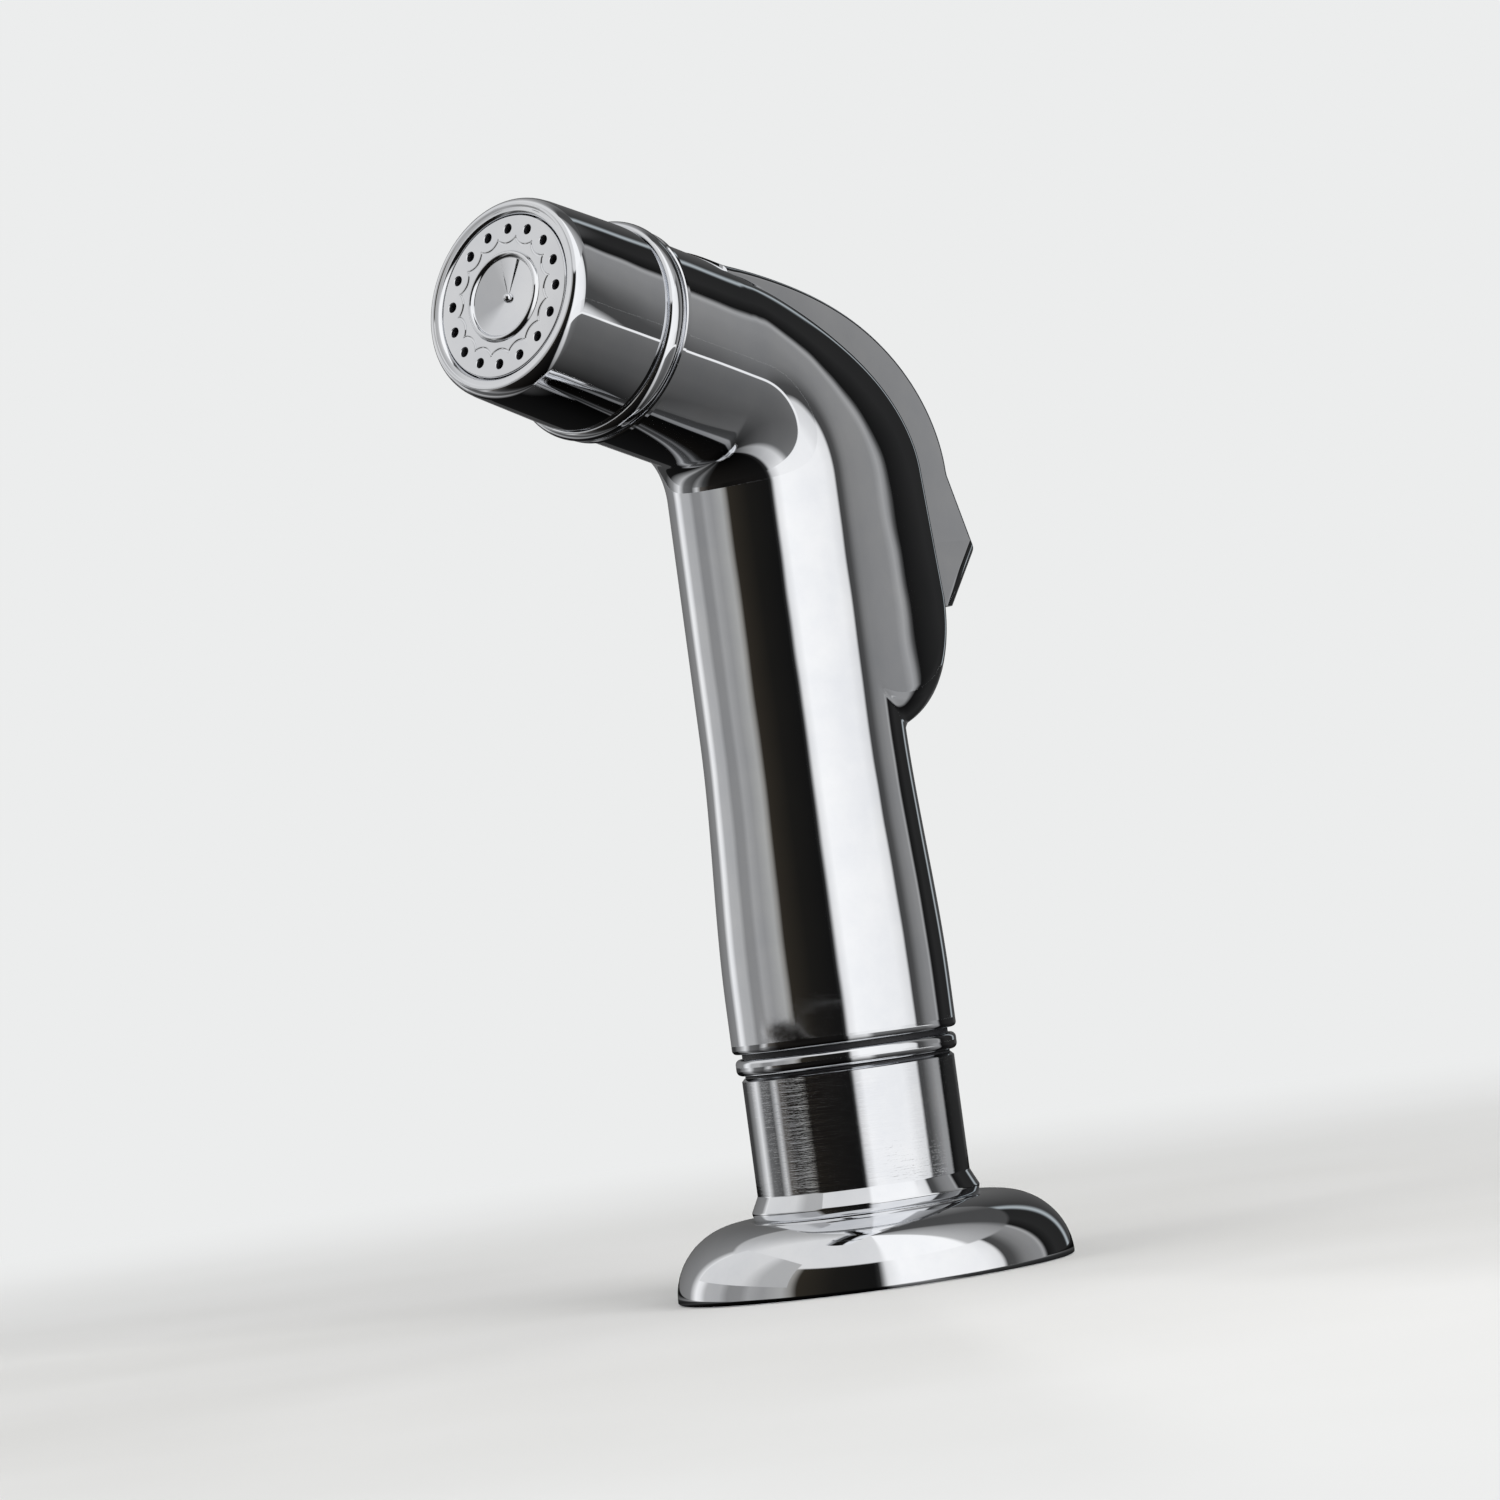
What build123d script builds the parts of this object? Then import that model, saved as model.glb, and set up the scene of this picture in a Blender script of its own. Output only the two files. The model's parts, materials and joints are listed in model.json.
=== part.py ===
from build123d import *
import os
from math import cos, radians, sin, tan

# Hand spray of a kitchen faucet, standing in its deck holder. Millimetres.
# Origin: centre of the flange on the deck. +Z up the handle, the spray head points to -Y.

# ---- clearances ----
slip = 0.1
run_fit = 0.05
lever_gap = 0.5
pocket_gap = 0.8
cone_gap = 0.4

# ---- handle, bend and neck of the spray body ----
tube_radius = 14.2
foot_radius = 15.55
foot_round = 0.6
handle_foot = 33.0
grip_start = 40.0
grip_end = 76.0
crotch_radius = 4.1
corner_height = 123.3
head_tilt = 16.0
face_reach = 50.8

# ---- valve housing on the back of the handle ----
housing_half_width = 10.3
housing_neck_half_width = 8.9
housing_corner = 5.5
housing_sink = 0.15
housing_front_height = 11.1
housing_shoulder_height = 22.5
housing_slope = 0.085
housing_sharpness = 1.7
housing_front_along = 26.0
chin_height = 92.2
chin_depth = 6.0

# ---- thumb lever ----
lever_half_width = 8.5
lever_wall = 1.6
lever_front_height = 11.9
lever_shoulder_height = 29.0
lever_slope = 0.37
lever_sharpness = 1.55
lever_front_along = 29.9
lever_front_crown = 2.7
lever_tip_crown = 1.2
lever_front_round = 12.0
lever_tip_depth = 34.0
lever_tip_height = 97.7
lever_end_slant = 50.0
lever_end_corner = 3.2
lever_foot_height = 91.0
pocket_end_height = 88.3
lever_press = 4.0
skirt_overlap = 2.0
pivot_along = 21.7
pivot_height = 8.8
pin_radius = 1.2
pin_half_length = 9.8
lug_radius = 2.2
lug_inside = 5.5
pad_width = 6.0
pad_length = 7.0

# ---- valve under the lever ----
valve_height = 104.0
chamber_radius = 6.5
inlet_radius = 5.5
inlet_floor = -8.0
seat_front = -1.0
seat_thickness = 3.0
seat_bore = 3.0
bonnet_seat = 17.5
bonnet_nose = 8.0
spot_radius = 7.8
bonnet_flats = 13.0
bonnet_head = 2.0
stem_radius = 1.8
stem_stroke_gap = 0.3
button_radius = 3.0
button_length = 1.5
button_round = 0.5
stem_disc_radius = 4.4
stem_disc_thickness = 1.2
stem_washer_thickness = 1.1
spring_wire = 0.3
spring_radius = 3.2
spring_turns = 3
feed_radius = 2.0
feed_offset = 3.2
outlet_radius = 2.5
outlet_offset = 5.0
waterway_radius = 4.0
bonnet_ring_wire = 0.8

# ---- waterway core and swivel in the handle ----
core_radius = 11.4
core_cover = 2.5
core_waterway = 5.3
core_roof = 3.0
core_foot = 33.4
nut_radius = 8.9
nut_length = 7.0
clip_room = 4.0
spigot_radius = 6.1
spigot_reach = 56.0
swivel_fit = 0.08
clip_height = 41.4
clip_thickness = 1.1
clip_radius = 8.0
clip_groove = 5.0
clip_opening = 60.0
nipple_ring_drop = 7.0
ring_wire = 0.6

# ---- hose coupling ----
coupling_radius = 15.3
coupling_bottom = 30.0
coupling_top = 32.3
coupling_round = 0.7
washer_radius = 14.28
nipple_radius = 8.0
nipple_bottom = 10.0
nipple_bore = 4.0
hose_thread_radius = 5.72
hose_thread_depth = 10.0
hose_seat_radius = 5.4
hose_washer_thickness = 1.5
cone_top_radius = 11.1
cone_bottom_radius = 9.8
cone_bottom = 14.0

# ---- deck holder ----
flange_radius = 27.5
flange_crest = 10.0
flange_crest_radius = 17.5
flange_edge = 0.3
flange_wall = 2.3
seat_height = 9.4
flare_radius = 15.5
flare_top = 12.6
collar_radius = 14.72
collar_top = 29.6
collar_chamfer = 0.4
collar_bore = 12.9
collar_floor = 11.0
shank_radius = 13.4
shank_bore = 10.6
shank_length = 66.0
thread_radius = 14.3
thread_start = 28.5
liner_rim_radius = 14.2
liner_bottom = 12.0
deck_thickness = 34.0
gasket_width = 4.0
gasket_thickness = 1.5
clamp_washer_radius = 20.0
clamp_washer_thickness = 1.6
nut_across_flats = 38.0
nut_height = 14.0
nut_chamfer = 1.5

# ---- spray head, lengths back from the spray face ----
face_radius = 11.15
face_flange_radius = 12.3
face_flange_front = 2.3
face_back = 3.6
hole_count = 16
hole_radius = 0.65
hole_circle_radius = 9.36
hub_radius = 6.3
hub_height = 0.5
dish_radius = 5.4
dish_depth = 0.8
nub_radius = 0.7
nub_height = 0.6
lip_radius = 13.83
lip_crest_radius = 12.6
lip_height = 0.4
lip_back = 2.2
cap_rear_radius = 14.3
cap_back = 16.2
cap_bore = 12.45
gasket_back = 4.8
gasket_bore = 10.6
adapter_radius = 12.35
adapter_bore = 10.5
disc_seat = 8.0
disc_thickness = 1.5
disc_hole_radius = 1.2
disc_hole_count = 8
disc_hole_circle = 4.2
screen_seat = 10.0
screen_thickness = 0.4
screen_radius = 6.9
screen_hole = 0.8
screen_pitch = 2.4
ring_back = 20.8
ring_groove_radius = 13.9
ring_core_radius = 14.3
bead_radius = 15.17
bead_front = 16.8
bead_back = 19.5
thin_rib_radius = 14.9
thin_rib_front = 19.9
spigot_back = 28.0
head_spigot_radius = 8.0
head_ring_groove = 24.0

# ---- worked out ----
bend_turn = 90 - head_tilt
bend_radius = tube_radius + crotch_radius
bend_length = bend_radius * radians(bend_turn)
bend_tangent = bend_radius * tan(radians(bend_turn / 2))
bend_start = corner_height - bend_tangent
neck_length = face_reach - bend_tangent


# Plane square to the spray's centreline, by the length along it from where the bend starts.
# Its x runs across, its y points to the back, and its normal points towards the head.
def station(along):
    turned = min(max(along, 0), bend_length) / bend_radius
    straight = along - turned * bend_radius
    y = bend_radius * (cos(turned) - 1) - straight * sin(turned)
    z = bend_start + bend_radius * sin(turned) + straight * cos(turned)
    return Plane(origin=(0, y, z), x_dir=(1, 0, 0), z_dir=(0, -sin(turned), cos(turned)))


# Point of the side view, on Plane.YZ, at a height over the centreline.
def side_point(along, height):
    plane = station(along)
    point = plane.origin + plane.y_dir * height
    return (point.Y, point.Z)


# Height over the centreline of an outline that rises from the neck to the shoulder of the back,
# then runs on down the handle at a slope.
def back_height(along, front_along, front, shoulder, sharpness, slope):
    if along <= 0:
        return shoulder - slope * along
    share = max(1 - along / front_along, 0) ** sharpness
    return front + (shoulder - front) * share * share * (3 - 2 * share)


def housing_height(along):
    return back_height(along, housing_front_along, housing_front_height,
                       housing_shoulder_height, housing_sharpness, housing_slope)


def lever_height(along):
    return back_height(along, lever_front_along, lever_front_height,
                       lever_shoulder_height, lever_sharpness, lever_slope)


# Floor of the pocket that the lever's skirts sink into. A pressed skirt moves in and slides down,
# both in proportion to its distance from the pivot.
def pocket_floor(along):
    plane = station(along)
    to_pivot = Vector(0, *pivot) - plane.origin
    travel = radians(lever_press) * max(to_pivot.dot(plane.z_dir), 0)
    slide = radians(lever_press) * max(housing_height(along) - to_pivot.dot(plane.y_dir), 0)
    return housing_height(along + slide) - skirt_overlap - pocket_gap - travel


# Outline of the housing in a station: bowed flanks that rise from just inside the tube's sides, and a
# back whose corners can be rounded.
def housing_outline(half_width, height, corner=0):
    side = tube_radius - housing_sink
    with BuildSketch(mode=Mode.PRIVATE) as outline:
        with BuildLine():
            right = TangentArc((side, 0), (half_width, height), tangent=(0, 1))
            left = TangentArc((-side, 0), (-half_width, height), tangent=(0, 1))
            Line(right @ 1, left @ 1)
            Line(left @ 0, right @ 0)
        make_face()
        if corner:
            fillet(outline.vertices().group_by(Axis.Y)[-1], corner)
    return outline.sketch


# Solid with the crowned back of the lever, drawn in by an inset from the outside.
def lever_block(inset, drop):
    stations = (-24, -12, 0, 4, 8, 12, 16, 20, 25, lever_front_along + 1)
    half_width = lever_half_width - inset
    with BuildPart(mode=Mode.PRIVATE) as block:
        for along in stations:
            height = lever_height(along) - inset
            share = (max(along, 0) / lever_front_along) ** 3
            crown = lever_tip_crown + (lever_front_crown - lever_tip_crown) * share
            base = housing_height(along) - skirt_overlap - drop
            with BuildSketch(station(along)):
                with BuildLine():
                    Line((half_width, base), (half_width, height))
                    ThreePointArc((half_width, height), (0, height + crown), (-half_width, height))
                    Line((-half_width, height), (-half_width, base))
                    Line((-half_width, base), (half_width, base))
                make_face()
        loft()
        extrude(front_outline(-inset), amount=100, both=True, mode=Mode.INTERSECT)
        extrude(end_outline(inset), amount=100, both=True, mode=Mode.INTERSECT)
        with BuildSketch(Plane.XY.offset(lever_foot_height + inset)):
            Rectangle(200, 200)
        extrude(amount=100, mode=Mode.INTERSECT)
    return block.part


# Plan of the lever's rounded front end, seen square to the neck, grown by a gap.
def front_outline(gap):
    tip = station(lever_front_along)
    top = Plane(origin=tip.origin, x_dir=(1, 0, 0), z_dir=tip.y_dir)
    with BuildSketch(top, mode=Mode.PRIVATE) as outline:
        with Locations((0, lever_front_round)):
            Circle(lever_front_round + gap)
            Rectangle(2 * (lever_front_round + gap), 100, align=(Align.CENTER, Align.MIN))
    return outline.sketch


# Plan of the lever's lower end with its round corners, seen along the slant of its end face.
def end_outline(inset):
    slant = radians(lever_end_slant)
    along_end = (0, cos(slant), sin(slant))
    tip = Plane(origin=(0, lever_tip_depth, lever_tip_height), x_dir=(1, 0, 0), z_dir=along_end)
    with BuildSketch(tip, mode=Mode.PRIVATE) as outline:
        with Locations((0, -inset)):
            Rectangle(2 * (lever_half_width - inset), 150, align=(Align.CENTER, Align.MAX))
        fillet(outline.vertices().group_by(Axis.Y)[-1], lever_end_corner - inset)
    return outline.sketch


# Section through the vertical axis, and section through the spray head's axis.
upright = Plane.XZ
head = station(bend_length + neck_length)
head_section = Plane(origin=head.origin, x_dir=(1, 0, 0), z_dir=-head.y_dir)
head_axis = Axis(head.origin, head.z_dir)
valve_plane = Plane(origin=(0, 0, valve_height), x_dir=(1, 0, 0), z_dir=(0, 1, 0))
valve_section = Plane(origin=(0, 0, valve_height), x_dir=(1, 0, 0), z_dir=(0, 0, 1))
valve_axis = Axis((0, 0, valve_height), (0, 1, 0))
pivot = side_point(pivot_along, pivot_height)
bend_axis = Axis((0, -bend_radius, bend_start), (1, 0, 0))
valve_along = valve_height - bend_start
nipple_ring_at = spigot_reach - nipple_ring_drop
core_top = valve_height - chamber_radius - core_cover
stroke = radians(lever_press) * (pivot[1] - valve_height + button_radius - button_round)
button_bottom = bonnet_seat + bonnet_head + stroke + stem_stroke_gap
button_top = button_bottom + button_length
core_bore = core_radius + slip
groove_depth = 2 * ring_wire + slip

os.makedirs("parts", exist_ok=True)


def finish(piece, name):
    piece.part.label = name
    export_step(piece.part, f"parts/{name}.step")


# ================= deck holder =================
with BuildPart() as flange:
    inner_radius = flange_radius - flange_wall
    with BuildSketch(upright):
        with BuildLine():
            dome = EllipticalCenterArc((flange_crest_radius, flange_edge), flange_radius - flange_crest_radius,
                                       flange_crest - flange_edge)
            Polyline(dome @ 1, (flare_radius + slip, flange_crest - slip), (flare_radius + slip, seat_height),
                     (thread_radius + slip, seat_height), (thread_radius + slip, seat_height - flange_wall))
            under = EllipticalCenterArc((flange_crest_radius, gasket_thickness),
                                        inner_radius - flange_crest_radius,
                                        seat_height - flange_wall - gasket_thickness)
            Line(under @ 1, (thread_radius + slip, seat_height - flange_wall))
            Polyline(under @ 0, (inner_radius, 0), (flange_radius, 0), dome @ 0)
        make_face()
    revolve(axis=Axis.Z)
finish(flange, "flange")

with BuildPart() as flange_gasket:
    with BuildSketch():
        Circle(inner_radius - slip)
        Circle(inner_radius - gasket_width, mode=Mode.SUBTRACT)
    extrude(amount=gasket_thickness)
finish(flange_gasket, "flange_gasket")

with BuildPart() as holder_sleeve:
    with BuildSketch(upright) as sleeve_profile:
        with BuildLine():
            Polyline((collar_bore, collar_top), (collar_radius - collar_chamfer, collar_top),
                     (collar_radius, collar_top - collar_chamfer), (collar_radius, flare_top))
            RadiusArc((collar_radius, flare_top), (flare_radius, seat_height), 2 * (flare_top - seat_height))
            Polyline((flare_radius, seat_height), (shank_radius, seat_height), (shank_radius, -thread_start),
                     (thread_radius, -thread_start), (thread_radius, -shank_length), (shank_bore, -shank_length),
                     (shank_bore, collar_floor), (collar_bore, collar_floor), (collar_bore, collar_top))
        make_face()
        fillet(sleeve_profile.vertices().sort_by_distance((thread_radius, -thread_start))[0],
               (thread_radius - shank_radius) * 0.9)
    revolve(axis=Axis.Z)
    chamfer(holder_sleeve.edges().filter_by(GeomType.CIRCLE).group_by(Axis.Z)[0].sort_by(SortBy.RADIUS)[-1], 0.8)
finish(holder_sleeve, "holder_sleeve")

with BuildPart() as holder_liner:
    liner_top_bore = cone_top_radius + cone_gap
    liner_low_bore = cone_bottom_radius + cone_gap
    with BuildSketch(upright):
        with BuildLine():
            Polyline((liner_top_bore, coupling_bottom), (liner_rim_radius, coupling_bottom),
                     (liner_rim_radius, collar_top), (collar_bore - slip, collar_top),
                     (collar_bore - slip, liner_bottom), (liner_low_bore, liner_bottom),
                     (liner_low_bore, cone_bottom), close=True)
        make_face()
    revolve(axis=Axis.Z)
finish(holder_liner, "holder_liner")

with BuildPart() as mounting_washer:
    with BuildSketch(Plane.XY.offset(-deck_thickness)):
        Circle(clamp_washer_radius)
        Circle(thread_radius + slip, mode=Mode.SUBTRACT)
    extrude(amount=-clamp_washer_thickness)
finish(mounting_washer, "mounting_washer")

with BuildPart() as mounting_nut:
    with BuildSketch(Plane.XY.offset(-deck_thickness - clamp_washer_thickness)):
        RegularPolygon(nut_across_flats / 2, 6, major_radius=False)
    extrude(amount=-nut_height)
    nut_low = -deck_thickness - clamp_washer_thickness - nut_height
    with BuildSketch(Plane.XY.offset(nut_low)):
        Circle(nut_across_flats / 2 - nut_chamfer / 2)
    extrude(amount=nut_height + nut_chamfer, taper=-45, mode=Mode.INTERSECT)
    with BuildSketch(Plane.XY.offset(nut_low)):
        Circle(thread_radius + run_fit)
    extrude(amount=nut_height, mode=Mode.SUBTRACT)
finish(mounting_nut, "mounting_nut")

# ================= hose coupling =================
with BuildPart() as coupling_ring:
    with BuildSketch(Plane.XY.offset(coupling_bottom)):
        Circle(coupling_radius)
        Circle(nipple_radius + run_fit, mode=Mode.SUBTRACT)
    extrude(amount=coupling_top - coupling_bottom)
    rims = coupling_ring.edges().filter_by(GeomType.CIRCLE).group_by(SortBy.RADIUS)[-1]
    fillet(rims, coupling_round)
finish(coupling_ring, "coupling_ring")

with BuildPart() as thrust_washer:
    with BuildSketch(Plane.XY.offset(coupling_top)):
        Circle(washer_radius)
        Circle(nipple_radius + run_fit, mode=Mode.SUBTRACT)
    extrude(amount=handle_foot - coupling_top)
finish(thrust_washer, "thrust_washer")

with BuildPart() as guide_cone:
    with BuildSketch(upright):
        with BuildLine():
            Polyline((nipple_radius + slip, coupling_bottom), (cone_top_radius, coupling_bottom),
                     (cone_bottom_radius, cone_bottom), (nipple_radius + slip, cone_bottom), close=True)
        make_face()
    revolve(axis=Axis.Z)
finish(guide_cone, "guide_cone")

with BuildPart() as swivel_nipple:
    spigot_top = spigot_reach - cone_gap
    thread_top = nipple_bottom + hose_thread_depth
    washer_top = thread_top + hose_washer_thickness
    with BuildSketch(upright):
        with BuildLine():
            Polyline((nipple_bore, spigot_top), (spigot_radius - 0.6, spigot_top), (spigot_radius, spigot_top - 1),
                     (spigot_radius, handle_foot), (nipple_radius, handle_foot), (nipple_radius, nipple_bottom),
                     (hose_thread_radius, nipple_bottom), (hose_thread_radius, thread_top),
                     (hose_seat_radius, thread_top), (hose_seat_radius, washer_top),
                     (nipple_bore, washer_top), close=True)
        make_face()
        with Locations((spigot_radius, clip_height - run_fit)):
            Rectangle(2 * (spigot_radius - clip_groove), clip_thickness + 2 * run_fit,
                      align=(Align.CENTER, Align.MIN), mode=Mode.SUBTRACT)
        with Locations((spigot_radius, nipple_ring_at)):
            Rectangle(2 * groove_depth, groove_depth, mode=Mode.SUBTRACT)
    revolve(axis=Axis.Z)
finish(swivel_nipple, "swivel_nipple")

with BuildPart() as nipple_oring:
    with BuildSketch(upright):
        with Locations((spigot_radius + swivel_fit / 2 - ring_wire, nipple_ring_at)):
            Circle(ring_wire)
    revolve(axis=Axis.Z)
finish(nipple_oring, "nipple_oring")

with BuildPart() as retaining_clip:
    with BuildSketch(Plane.XY.offset(clip_height)):
        Circle(clip_radius)
        Circle(clip_groove + run_fit, mode=Mode.SUBTRACT)
        with BuildLine():
            gap = radians(clip_opening / 2)
            Polyline((0, 0), (2 * clip_radius * sin(gap), 2 * clip_radius * cos(gap)),
                     (-2 * clip_radius * sin(gap), 2 * clip_radius * cos(gap)), close=True)
        make_face(mode=Mode.SUBTRACT)
    extrude(amount=clip_thickness)
finish(retaining_clip, "retaining_clip")

with BuildPart() as hose_washer:
    with BuildSketch(Plane.XY.offset(thread_top)):
        Circle(hose_seat_radius - run_fit)
        Circle(nipple_bore, mode=Mode.SUBTRACT)
    extrude(amount=hose_washer_thickness)
finish(hose_washer, "hose_washer")

# ================= spray body =================
with BuildPart() as pocket:
    front = lever_front_along + lever_gap
    foot = (pocket_floor(pocket_end_height - bend_start), pocket_end_height)
    with BuildSketch(Plane.YZ):
        with BuildLine():
            floor = Spline([side_point(a, pocket_floor(a)) for a in (front, 20, 14, 8, 3, -4, -12)] + [foot])
            high = side_point(front, 40)
            Polyline(floor @ 1, (60, pocket_end_height), (60, high[1]), high, floor @ 0)
        make_face()
    extrude(amount=lever_half_width + lever_gap, both=True)
    extrude(front_outline(lever_gap), amount=100, both=True, mode=Mode.INTERSECT)
    for side in (-1, 1):
        with BuildSketch(Plane.YZ.offset(side * (lug_inside - lever_gap))):
            with Locations(pivot):
                Circle(lug_radius + lever_gap)
        extrude(amount=side * (lever_half_width + 2 * lever_gap - lug_inside))
    with BuildSketch(valve_plane.offset(bonnet_seat)):
        Circle(spot_radius)
    extrude(amount=lever_height(valve_along) - bonnet_seat)

with BuildPart() as chin:
    chin_along = chin_height - bend_start
    chin_radius = housing_height(chin_along) - chin_depth
    with BuildSketch(Plane.XY.offset(chin_height)):
        add(housing_outline(housing_half_width, housing_height(chin_along)))
    extrude(amount=-2 * chin_radius)
    with BuildSketch(Plane.YZ):
        with Locations((chin_depth, chin_height)):
            Circle(chin_radius)
    extrude(amount=2 * tube_radius, both=True, mode=Mode.INTERSECT)
    fillet(chin.edges().filter_by(GeomType.BSPLINE), housing_corner)

with BuildPart() as body_shell:
    with BuildSketch(upright) as handle_profile:
        with BuildLine():
            Line((0, handle_foot), (foot_radius, handle_foot))
            Line((foot_radius, handle_foot), (foot_radius, grip_start))
            Spline((foot_radius, grip_start), (tube_radius, grip_end), tangents=[(0, 1), (0, 1)])
            Line((tube_radius, grip_end), (tube_radius, bend_start))
            Line((tube_radius, bend_start), (0, bend_start))
            Line((0, bend_start), (0, handle_foot))
        make_face()
        fillet(handle_profile.vertices().sort_by_distance((foot_radius, handle_foot))[0], foot_round)
    revolve(axis=Axis.Z)
    with BuildSketch(station(0)):
        Circle(tube_radius)
    revolve(axis=bend_axis, revolution_arc=bend_turn)
    with BuildSketch(station(bend_length)):
        Circle(tube_radius)
    extrude(amount=neck_length - ring_back)
    for along in (chin_along, chin_along / 2, 0, 5, 10, 15, 20, housing_front_along):
        share = max(along, 0) / housing_front_along
        half_width = housing_half_width + (housing_neck_half_width - housing_half_width) * share
        with BuildSketch(station(along)):
            add(housing_outline(half_width, housing_height(along), housing_corner))
    loft()
    add(chin.part)
    add(pocket.part, mode=Mode.SUBTRACT)
    # bores: core, feed to the valve, valve chamber, outlet to the neck, neck waterway and spigot
    with BuildSketch(Plane.XY.offset(handle_foot)):
        Circle(core_bore)
    extrude(amount=core_top - handle_foot, mode=Mode.SUBTRACT)
    with BuildSketch(Plane.XY.offset(core_top)):
        with Locations((0, -feed_offset)):
            Circle(feed_radius)
    extrude(amount=valve_height - core_top, mode=Mode.SUBTRACT)
    with BuildSketch(valve_section):
        with BuildLine():
            Polyline((0, inlet_floor), (inlet_radius, inlet_floor), (inlet_radius, seat_front),
                     (chamber_radius, seat_front), (chamber_radius, bonnet_seat),
                     (0, bonnet_seat), close=True)
        make_face()
    revolve(axis=valve_axis, mode=Mode.SUBTRACT)
    with BuildSketch(Plane.XY.offset(valve_height)):
        with Locations((0, outlet_offset)):
            Circle(outlet_radius)
    extrude(amount=corner_height - valve_height, mode=Mode.SUBTRACT)
    with BuildSketch(head.offset(-ring_back)):
        Circle(head_spigot_radius + run_fit)
    extrude(amount=ring_back - spigot_back - slip, mode=Mode.SUBTRACT)
    with BuildSketch(head.offset(-spigot_back)):
        Circle(waterway_radius)
    extrude(amount=spigot_back - face_reach - outlet_offset, mode=Mode.SUBTRACT)
    with BuildSketch(Plane.YZ):
        with Locations(pivot):
            Circle(pin_radius + run_fit)
    extrude(amount=pin_half_length + slip, both=True, mode=Mode.SUBTRACT)
finish(body_shell, "body_shell")

with BuildPart() as inner_core:
    nut_top = core_foot + nut_length
    spigot_seat = nut_top + clip_room
    with BuildSketch(upright):
        with BuildLine():
            Polyline((nut_radius + run_fit, core_foot), (core_radius, core_foot), (core_radius, core_top),
                     (0, core_top), (0, core_top - core_roof), (core_waterway, core_top - core_roof),
                     (core_waterway, spigot_reach),
                     (spigot_radius + swivel_fit, spigot_reach), (spigot_radius + swivel_fit, spigot_seat),
                     (nut_radius + run_fit, spigot_seat), close=True)
        make_face()
    revolve(axis=Axis.Z)
    with BuildSketch(Plane.XY.offset(core_top)):
        with Locations((0, -feed_offset)):
            Circle(feed_radius)
    extrude(amount=-core_roof - slip, mode=Mode.SUBTRACT)
finish(inner_core, "inner_core")

with BuildPart() as coupling_nut:
    with BuildSketch(Plane.XY.offset(core_foot)):
        Circle(nut_radius)
        Circle(spigot_radius + swivel_fit, mode=Mode.SUBTRACT)
    extrude(amount=nut_length)
finish(coupling_nut, "coupling_nut")

# ---- valve ----
with BuildPart() as valve_seat:
    with BuildSketch(valve_plane.offset(seat_front)):
        Circle(chamber_radius - run_fit)
        Circle(seat_bore, mode=Mode.SUBTRACT)
    extrude(amount=seat_thickness)
finish(valve_seat, "valve_seat")

with BuildPart() as valve_bonnet:
    with BuildSketch(valve_plane.offset(bonnet_nose)):
        Circle(chamber_radius - run_fit)
    extrude(amount=bonnet_seat - bonnet_nose)
    with BuildSketch(valve_plane.offset(bonnet_seat)):
        RegularPolygon(bonnet_flats / 2, 6, major_radius=False, rotation=30)
    extrude(amount=bonnet_head)
    with BuildSketch(valve_plane.offset(bonnet_nose)):
        Circle(stem_radius + run_fit)
    extrude(amount=100, mode=Mode.SUBTRACT)
    with BuildSketch(valve_plane.offset(bonnet_nose)):
        Circle(stem_radius + 2 * bonnet_ring_wire)
    extrude(amount=2.2 * bonnet_ring_wire, mode=Mode.SUBTRACT)
finish(valve_bonnet, "valve_bonnet")

with BuildPart() as bonnet_oring:
    with BuildSketch(valve_section):
        with Locations((stem_radius + run_fit + bonnet_ring_wire * 0.95, bonnet_nose + 1.2 * bonnet_ring_wire)):
            Circle(bonnet_ring_wire * 0.9)
    revolve(axis=valve_axis)
finish(bonnet_oring, "bonnet_oring")

with BuildPart() as valve_stem:
    disc_front = seat_front - run_fit - stem_washer_thickness
    with BuildSketch(valve_section) as stem_profile:
        with BuildLine():
            Polyline((0, disc_front - stem_disc_thickness), (stem_disc_radius, disc_front - stem_disc_thickness),
                     (stem_disc_radius, disc_front), (stem_radius, disc_front), (stem_radius, button_bottom),
                     (button_radius, button_bottom), (button_radius, button_top), (0, button_top), close=True)
        make_face()
        fillet(stem_profile.vertices().sort_by_distance((button_radius, button_top))[0], button_round)
    revolve(axis=valve_axis)
finish(valve_stem, "valve_stem")

with BuildPart() as stem_washer:
    with BuildSketch(valve_plane.offset(disc_front)):
        Circle(stem_disc_radius + 0.2)
        Circle(stem_radius + run_fit, mode=Mode.SUBTRACT)
    extrude(amount=stem_washer_thickness)
finish(stem_washer, "stem_washer")

with BuildPart() as valve_spring:
    spring_room = disc_front - stem_disc_thickness - inlet_floor - 2 * spring_wire - 2 * run_fit
    coil_start = (0, inlet_floor + spring_wire + run_fit, valve_height)
    with BuildLine() as coil:
        Helix(spring_room / spring_turns, spring_room, spring_radius, center=coil_start, direction=(0, 1, 0))
    with BuildSketch(Plane(coil.line @ 0, z_dir=coil.line % 0)):
        Circle(spring_wire)
    sweep(is_frenet=True)
finish(valve_spring, "valve_spring")

# ---- thumb lever ----
with BuildPart() as press_pad:
    pad_face = button_top + run_fit
    with BuildSketch(valve_plane.offset(pad_face)):
        Rectangle(pad_width, pad_length)
    extrude(amount=lever_tip_depth)
    add(lever_block(lever_wall / 2, 2 * skirt_overlap), mode=Mode.INTERSECT)

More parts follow.
